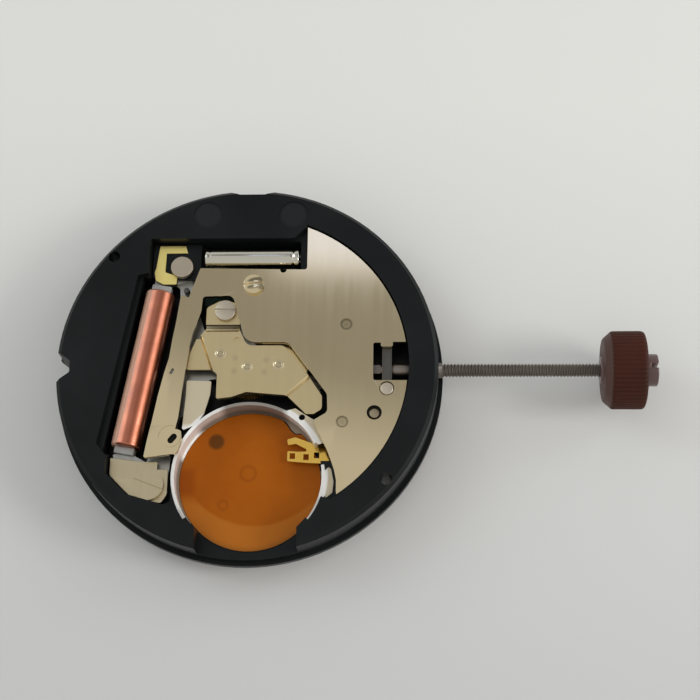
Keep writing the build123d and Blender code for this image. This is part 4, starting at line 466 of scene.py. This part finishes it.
def joined(name, meshes):
    whole = bmesh.new()
    for mesh in meshes:
        whole.from_mesh(mesh)
        bpy.data.meshes.remove(mesh)
    result = bpy.data.meshes.new(name)
    whole.to_mesh(result)
    whole.free()
    return result


# Raised rims round the pivots of the bridge
rimSizes = {"places": ((-1.83, 0.92), (0.0, 0.0), (2.105, 0.15)), "steps": 28, "smooth": 50,
            "profile": ((-0.05, 0.0), (-0.05, 0.16), (0.0, 0.19), (0.036, 0.235), (0.045, 0.265), (0.036, 0.30),
                        (0.0, 0.37), (-0.06, 0.37), (-0.06, 0.0))}
rimMesh = joined("pivotRims", [turnedMesh("rim", rimSizes["profile"], rimSizes["steps"],
                                          (x, y, bridgeSizes["top"] / mm), (0, 0, 1))
                               for x, y in rimSizes["places"]])
smoothMesh(rimMesh, rimSizes["smooth"])
addPiece("pivotRims", rimMesh, clampMetal, "train_bridge", False)

# Crystal can: drawn can with a rolled bead at each end
canSizes = {"from": -3.18, "to": 3.32, "y": 8.0, "z": 2.0, "steps": 64, "smooth": 50,
            "left": ((0.0, 0.0), (0.0, 0.60), (0.05, 0.69), (0.12, 0.72), (0.22, 0.72), (0.28, 0.70), (0.34, 0.68),
                     (0.42, 0.70), (0.50, 0.71)),
            "right": ((0.62, 0.71), (0.52, 0.69), (0.44, 0.65), (0.36, 0.69), (0.28, 0.72), (0.08, 0.72),
                      (0.02, 0.68), (0.0, 0.60), (0.0, 0.0))}
canLength = canSizes["to"] - canSizes["from"]
canProfile = [*canSizes["left"], *((canLength - back, radius) for back, radius in canSizes["right"])]
canOrigin = (canSizes["from"], canSizes["y"], canSizes["z"])
canMesh = turnedMesh("crystalShell", canProfile, canSizes["steps"], canOrigin, (1, 0, 0))
smoothMesh(canMesh, canSizes["smooth"])
canPiece = addPiece("crystalShell", canMesh, canMetal, "crystal_can")
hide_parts("crystal_cap")
print("stage rims and crystal")

# Copper winding: layers of fine wire under lacquer, a little uneven, with rounded shoulders
coilSizes = {"radius": 1.02, "slope": 0.166, "midX": -6.58, "midY": 3.0, "topY": 5.55, "endY": -5.45,
             "level": 1.75, "uneven": 0.004, "wirePitch": 0.046, "groove": 0.0035, "shoulder": 0.12,
             "layer": 0.006, "layerWaves": (3.1, 0.9), "steps": 48, "smooth": 75, "seed": 5}
# the last three entries paint a highlight: a pale, barely metallic band down the coil's outer side
copperLook = {"colour": (0.70, 0.22, 0.09), "roughness": 0.30, "satin": (0.30, 0.38), "coatRoughness": 0.26,
              "coatIor": 1.75, "tones": ((0.50, 0.125, 0.042), (0.40, 0.092, 0.028)), "clouds": 420,
              "stretch": (0.4, 2.2, 1), "depth": 0.000008, "relief": 0.4,
              "highlightEdge": (-0.62, -0.40), "highlightColour": (0.98, 0.56, 0.39), "highlightMetallic": 0.1}


def coilPoint(y):
    return Vector((coilSizes["midX"] + coilSizes["slope"] * (y - coilSizes["midY"]), y, coilSizes["level"]))


coilEnd, coilTop = coilPoint(coilSizes["endY"]), coilPoint(coilSizes["topY"])
coilLength = (coilTop - coilEnd).length
wireTurns = int(coilLength / coilSizes["wirePitch"])
chance = random.Random(coilSizes["seed"])
coilProfile = [(0.0, 0.0)]
for turn in range(2 * wireTurns + 1):
    along = coilLength * turn / (2 * wireTurns)
    fromEnd = min(along, coilLength - along)
    shoulder = coilSizes["shoulder"] * max(0.0, 1 - fromEnd / coilSizes["shoulder"]) ** 2
    layer = coilSizes["layer"] * math.prod(math.sin(along * wave) for wave in coilSizes["layerWaves"])
    groove = coilSizes["groove"] * (turn % 2)
    uneven = coilSizes["uneven"] * (chance.random() - 0.5)
    coilProfile.append((along, coilSizes["radius"] - shoulder - groove + layer + uneven))
coilProfile.append((coilLength, 0.0))
copper = Paint("copper", copperLook["colour"], copperLook["roughness"], metallic=1.0, coat=1.0)
copper.shader.inputs["Coat Roughness"].default_value = copperLook["coatRoughness"]
copper.shader.inputs["Coat IOR"].default_value = copperLook["coatIor"]
coilClouds = copper.noise(copperLook["clouds"], factors=copperLook["stretch"])
copperTone = copper.blend(coilClouds.ramp(*noiseSpan), *copperLook["tones"])
coilAlong, coilRise = [axis / mm for axis in copper.axes(copper.place)[:2]]
coilAside = coilAlong - coilSizes["midX"] - (coilRise - coilSizes["midY"]) * coilSizes["slope"]
coilHighlight = coilAside.ramp(*copperLook["highlightEdge"], 1.0, 0.0)  # painted highlight: pale, barely metallic copper down the outer, lit side
copper.put("Base Color", copper.blend(coilHighlight, copperTone, copperLook["highlightColour"]))
copper.put("Metallic", coilHighlight.ramp(0.0, 1.0, 1.0, copperLook["highlightMetallic"]))
copper.put("Roughness", coilClouds.ramp(*noiseSpan, *copperLook["satin"]))
copper.bump(coilClouds, copperLook["depth"], copperLook["relief"])
coilMesh = turnedMesh("coilWinding", coilProfile, coilSizes["steps"], coilEnd, coilTop - coilEnd)
smoothMesh(coilMesh, coilSizes["smooth"])
addPiece("coilWinding", coilMesh, copper.material, "coil_winding")
print("stage coil")

# Stem with a real thread from the stub to the crown
threadSizes = {"start": 13.15, "end": 23.9, "outer": 0.45, "root": 0.365, "pitch": 0.225, "height": 1.65,
               "steps": 20, "smooth": 50,
               "profile": ((0, "root"), (0.3, "outer"), (0.5, "outer"), (0.8, "root"), (1, "root"))}
stubSizes = {"end": 13.06, "edge": 0.03, "segments": 2}
threadTurns = (threadSizes["end"] - threadSizes["start"]) / threadSizes["pitch"]
threadProfile = [(share * threadSizes["pitch"], threadSizes[part]) for share, part in threadSizes["profile"]]
threadOrigin = (threadSizes["start"] - threadSizes["pitch"], 0, threadSizes["height"])
threadMesh = turnedMesh("stemThread", threadProfile, threadSizes["steps"], threadOrigin, (1, 0, 0), threadTurns,
                        threadSizes["pitch"])
smoothMesh(threadMesh, threadSizes["smooth"])
addPiece("stemThread", threadMesh, stemSteel, "stem", False)
stemMesh = mergedCopy("stem")
shape = bmesh.new()
shape.from_mesh(stemMesh)
bmesh.ops.bisect_plane(shape, geom=shape.verts[:] + shape.edges[:] + shape.faces[:],
                       plane_co=(stubSizes["end"] * mm, 0, 0), plane_no=(1, 0, 0), clear_outer=True)
bmesh.ops.holes_fill(shape, edges=[edge for edge in shape.edges if edge.is_boundary], sides=0)
shape.to_mesh(stemMesh)
shape.free()
soften(addPiece("stemBody", stemMesh, stemSteel, "stem"), stubSizes["edge"], stubSizes["segments"])
print("stage stem")

# Crown: bevelled towards the stem, with fine flutes round its side
crownSizes = {"start": 23.72, "height": 1.65, "smooth": 42, "flutes": 52, "stepsPerFlute": 8, "depth": 0.06,
              "fluteFrom": 2.45, "fluteFull": 2.58,
              "profile": ((0.0, 0.0), (0.0, 2.02), (0.02, 2.10), (0.07, 2.17), (0.43, 2.48), (0.49, 2.54),
                          (0.56, 2.59), (0.66, 2.61), (2.40, 2.62), (2.56, 2.61), (2.68, 2.56), (2.74, 2.48),
                          (2.78, 2.36), (2.78, 0.0))}
crownMesh = turnedMesh("crownBody", crownSizes["profile"], crownSizes["flutes"] * crownSizes["stepsPerFlute"],
                       (crownSizes["start"], 0, crownSizes["height"]), (1, 0, 0))
shape = bmesh.new()
shape.from_mesh(crownMesh)
for corner in shape.verts:
    across, upward = corner.co.y / mm, corner.co.z / mm - crownSizes["height"]
    radius = math.hypot(across, upward)
    share = (radius - crownSizes["fluteFrom"]) / (crownSizes["fluteFull"] - crownSizes["fluteFrom"])
    share = min(1.0, max(0.0, share))
    if share:
        wave = 0.5 - 0.5 * math.cos(crownSizes["flutes"] * math.atan2(upward, across))
        scale = 1 - crownSizes["depth"] * share * wave ** 2 / radius
        corner.co.y *= scale
        corner.co.z = (crownSizes["height"] + upward * scale) * mm
shape.to_mesh(crownMesh)
shape.free()
smoothMesh(crownMesh, crownSizes["smooth"])
addPiece("crownBody", crownMesh, crownBrown, "crown")
print("stage crown")

# Film in the well: clear orange, with the marks that show through it, painted shade at its lower rim
# and an arc of painted reflection above that
filmSizes = {"colour": (0.33, 0.080, 0.002), "roughness": 0.34, "specular": 0.10, "depth": 0.00002, "smooth": 30,
             "tones": ((0.32, 0.074, 0.0015), (0.385, 0.096, 0.003)), "clouds": 300, "relief": 0.25,
             "band": (-5.0, -3.6, -8.2, -6.9, 0.45), "bandColour": (0.235, 0.038, 0.001), "bandShare": 0.5,
             # rim: painted shade where the near wall shades the film; arc: a painted reflection, lighter orange
             "rimCentre": (0.28, -7.5), "rimReach": (4.35, 4.6), "rimRise": (-10.3, -11.0),
             "rimColour": (0.105, 0.040, 0.010), "rimShare": 0.7,
             "arcCentre": (0.63, -5.3), "arcReach": (5.1, 5.3), "arcRise": (-8.4, -9.2),
             "arcColour": (0.47, 0.155, 0.018), "arcShare": 0.6,
             "spot": (-2.05, -4.75, 0.4125, 0.6325), "spotColour": (0.085, 0.030, 0.004), "spotShare": 0.85,
             "rings": ((0.15, -6.95, 0.50, 0.16), (-1.45, -9.1, 0.30, 0.14)), "ringColour": (0.17, 0.035, 0.002),
             "ringShare": 0.4}
film = Paint("film", filmSizes["colour"], filmSizes["roughness"], specular=filmSizes["specular"])
filmClouds = film.noise(filmSizes["clouds"])
filmTone = film.blend(filmClouds.ramp(*noiseSpan), *filmSizes["tones"])
filmBand = film.box(*filmSizes["band"]) * filmSizes["bandShare"]
filmTone = film.blend(filmBand, filmTone, filmSizes["bandColour"])
filmRise = film.axes(film.place)[1] / mm
# painted shade at the lower rim, then the painted reflection arc
for arc in ("rim", "arc"):
    paintedFilmArc = film.reach(*filmSizes[arc + "Centre"]).ramp(*filmSizes[arc + "Reach"])
    paintedFilmArc = paintedFilmArc * filmRise.ramp(*filmSizes[arc + "Rise"]) * filmSizes[arc + "Share"]
    filmTone = film.blend(paintedFilmArc, filmTone, filmSizes[arc + "Colour"])
filmTone = film.blend(film.spot(*filmSizes["spot"]) * filmSizes["spotShare"], filmTone, filmSizes["spotColour"])
for ring in filmSizes["rings"]:
    filmTone = film.blend(film.band(*ring) * filmSizes["ringShare"], filmTone, filmSizes["ringColour"])
film.put("Base Color", filmTone)
film.bump(filmClouds, filmSizes["depth"], filmSizes["relief"])
filmMesh = frame["nodes"]["insulating_film"].data.copy()
smoothMesh(filmMesh, filmSizes["smooth"])
addPiece("wellFilm", filmMesh, film.material, "insulating_film")
print("stage film")

# Day numbers on the dial side of the date ring
numberSizes = {"radius": 10.72, "size": 1.05, "thickness": 0.004, "count": 31, "curve": 3, "merge": 1e-8}
numberPaint = plainPaint("numberPaint", (0.012, 0.012, 0.013), (0.018, 0.018, 0.02), 0.5, 3600, 0.000002)
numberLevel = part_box("date_ring")[0][2] / mm
numbers = bmesh.new()
for day in range(1, numberSizes["count"] + 1):
    text = bpy.data.curves.new("day", "FONT")
    text.body = str(day)
    text.size = numberSizes["size"] * mm
    text.align_x = "CENTER"
    text.align_y = "CENTER"
    text.extrude = numberSizes["thickness"] * mm
    text.resolution_u = numberSizes["curve"]
    holder = bpy.data.objects.new("day", text)
    figure = bpy.data.meshes.new_from_object(holder)
    angle = -2 * math.pi * (day - 1) / numberSizes["count"]
    flipped = Matrix.Rotation(math.pi, 4, "X")  # read from the dial side
    outward = Matrix.Translation((numberSizes["radius"] * mm, 0, numberLevel * mm))
    figure.transform(Matrix.Rotation(angle, 4, "Z") @ outward @ flipped)
    numbers.from_mesh(figure)
    bpy.data.objects.remove(holder)
    bpy.data.meshes.remove(figure)
bmesh.ops.remove_doubles(numbers, verts=numbers.verts, dist=numberSizes["merge"])
numberMesh = bpy.data.meshes.new("dayNumbers")
numbers.to_mesh(numberMesh)
numbers.free()
addPiece("dayNumbers", numberMesh, numberPaint, "date_ring", False)
print("stage day numbers")

# Floor: pale, with painted light falling off across it: darker towards the front, paler towards the back
floorSizes = {"level": -1.87, "reach": 900, "colour": (0.60, 0.595, 0.575), "roughness": 0.65,
              "depth": (-24.0, 22.0), "shadedFront": (0.572, 0.560, 0.545), "back": (0.758, 0.741, 0.694),
              "clouds": 14, "cloudColour": (0.5, 0.5, 0.49), "cloudShare": 0.05}
floorShape = bmesh.new()
bmesh.ops.create_grid(floorShape, x_segments=1, y_segments=1, size=floorSizes["reach"] * mm)
floorMesh = bpy.data.meshes.new("floor")
floorShape.to_mesh(floorMesh)
floorShape.free()
floorMesh.transform(Matrix.Translation((0, 0, floorSizes["level"] * mm)))
floorObject = bpy.data.objects.new("floor", floorMesh)
bpy.context.scene.collection.objects.link(floorObject)
floorPaint = Paint("floorPaint", floorSizes["colour"], floorSizes["roughness"])
floorClouds = floorPaint.noise(floorSizes["clouds"], detail=2.0).ramp(*noiseSpan) * floorSizes["cloudShare"]
# painted light: the floor's colour runs from the shaded front to the lit back
floorLightFalloff = (floorPaint.axes(floorPaint.place)[1] / mm).ramp(*floorSizes["depth"])
floorLitTone = floorPaint.blend(floorLightFalloff, floorSizes["shadedFront"], floorSizes["back"])
floorPaint.put("Base Color", floorPaint.blend(floorClouds, floorLitTone, floorSizes["cloudColour"]))
floorMesh.materials.append(floorPaint.material)

# Lamps: place, target and size in mm, power in watts, colour
lampSizes = {
    "keyLamp": ((270, -45, 165), (5, 0, 0), (100, 100), 0.34, (1, 1, 1)),
    "leftLamp": ((-290, 140, 270), (-7, 0, 0), (160, 260), 0.26, (0.78, 0.93, 1.0)),
    "rightLamp": ((250, 110, 110), (-7, 0, 0), (90, 240), 0.15, (0.84, 0.95, 1.0)),
}
for name, (place, target, size, watts, colour) in lampSizes.items():
    data = bpy.data.lights.new(name, "AREA")
    data.shape = "RECTANGLE"
    data.size, data.size_y = size[0] * mm, size[1] * mm
    data.energy = watts
    data.color = colour
    lamp = bpy.data.objects.new(name, data)
    lamp.location = Vector(place) * mm
    lamp.rotation_euler = (Vector(target) - Vector(place)).to_track_quat("-Z", "Y").to_euler()
    bpy.context.scene.collection.objects.link(lamp)

# Sky: even light with two darker patches and one pale window, placed by their slopes x/z and y/z
skySizes = {"level": 0.70, "horizon": (0.0, 0.05), "centre": (0.30, 0.56), "reach": (0.62, 0.25),
            "edge": (1.1, 1.5), "dip": (0.39, 0.22), "dipRise": (-0.5, 0.0), "sideCentre": (0.55, 0.24),
            "sideReach": (0.40, 0.16), "sideEdge": (0.8, 1.5), "sideDip": 0.24, "window": 1.9,
            "windowColour": (0.63, 0.70, 1.0), "windowLow": (0.4045, 0.4245), "windowHigh": (0.52, 0.62),
            "windowLeft": (-0.108, -0.080), "windowRight": (0.04, 0.14)}
world = bpy.data.worlds.new("softWorld")
world.use_nodes = True
sky = Graph(world.node_tree)
skyX, skyY, skyZ = sky.axes(sky.node("ShaderNodeTexCoord", {}, "Generated"))
skyAcross, skyUp, skyAbove = skyX / skyZ, skyY / skyZ, skyZ.ramp(*skySizes["horizon"])


def skyPatch(centre, reach, edge):
    side, rise = (skyAcross - centre[0]) / reach[0], (skyUp - centre[1]) / reach[1]
    return rise, (side * side + rise * rise).ramp(*edge, 1.0, 0.0) * skyAbove


dipRise, dipPatch = skyPatch(skySizes["centre"], skySizes["reach"], skySizes["edge"])
sidePatch = skyPatch(skySizes["sideCentre"], skySizes["sideReach"], skySizes["sideEdge"])[1]
dipLevel = dipRise.ramp(*skySizes["dipRise"], *skySizes["dip"])
window = skyUp.ramp(*skySizes["windowLow"]) * skyUp.ramp(*skySizes["windowHigh"], 1.0, 0.0) * skyAbove
window = window * skyAcross.ramp(*skySizes["windowLeft"]) * skyAcross.ramp(*skySizes["windowRight"], 1.0, 0.0)
skyStrength = dipPatch * (dipLevel - skySizes["level"]) + skySizes["level"]
skyStrength = skyStrength + sidePatch * (skySizes["sideDip"] - skyStrength)
skyStrength = skyStrength + window * (skySizes["window"] - skyStrength)
skyColour = sky.blend(window, (1, 1, 1), skySizes["windowColour"])
background = world.node_tree.nodes["Background"]
world.node_tree.links.new(skyStrength.socket, background.inputs["Strength"])
world.node_tree.links.new(skyColour.socket, background.inputs["Color"])
bpy.context.scene.world = world
print("stage lamps")

# Camera, fitted to the photograph
cameraFit = {"tilt": 19.6486, "yaw": -2.5027, "roll": 0.1428, "shiftX": -6.7823, "shiftY": -1.9698,
             "distance": 110.3091, "focal": 1613.5083, "width": 700, "sensor": 36, "nearest": 0.001}
turned = (Matrix.Rotation(math.radians(cameraFit["roll"]), 3, "Z")
          @ Matrix.Rotation(math.radians(cameraFit["yaw"]), 3, "Y")
          @ Matrix.Rotation(math.radians(-cameraFit["tilt"]), 3, "X"))
offset = Vector((cameraFit["shiftX"], cameraFit["shiftY"], -cameraFit["distance"]))
cameraData = bpy.data.cameras.new("photoCamera")
cameraData.sensor_width = cameraFit["sensor"]
cameraData.lens = cameraFit["sensor"] * cameraFit["focal"] / cameraFit["width"]
cameraData.clip_start = cameraFit["nearest"]
cameraObject = bpy.data.objects.new("photoCamera", cameraData)
upright = turned.transposed()
cameraObject.matrix_world = Matrix.Translation(-(upright @ offset) * mm) @ upright.to_4x4()
bpy.context.scene.collection.objects.link(cameraObject)
bpy.context.scene.camera = cameraObject
bpy.context.scene.view_settings.view_transform = "Standard"
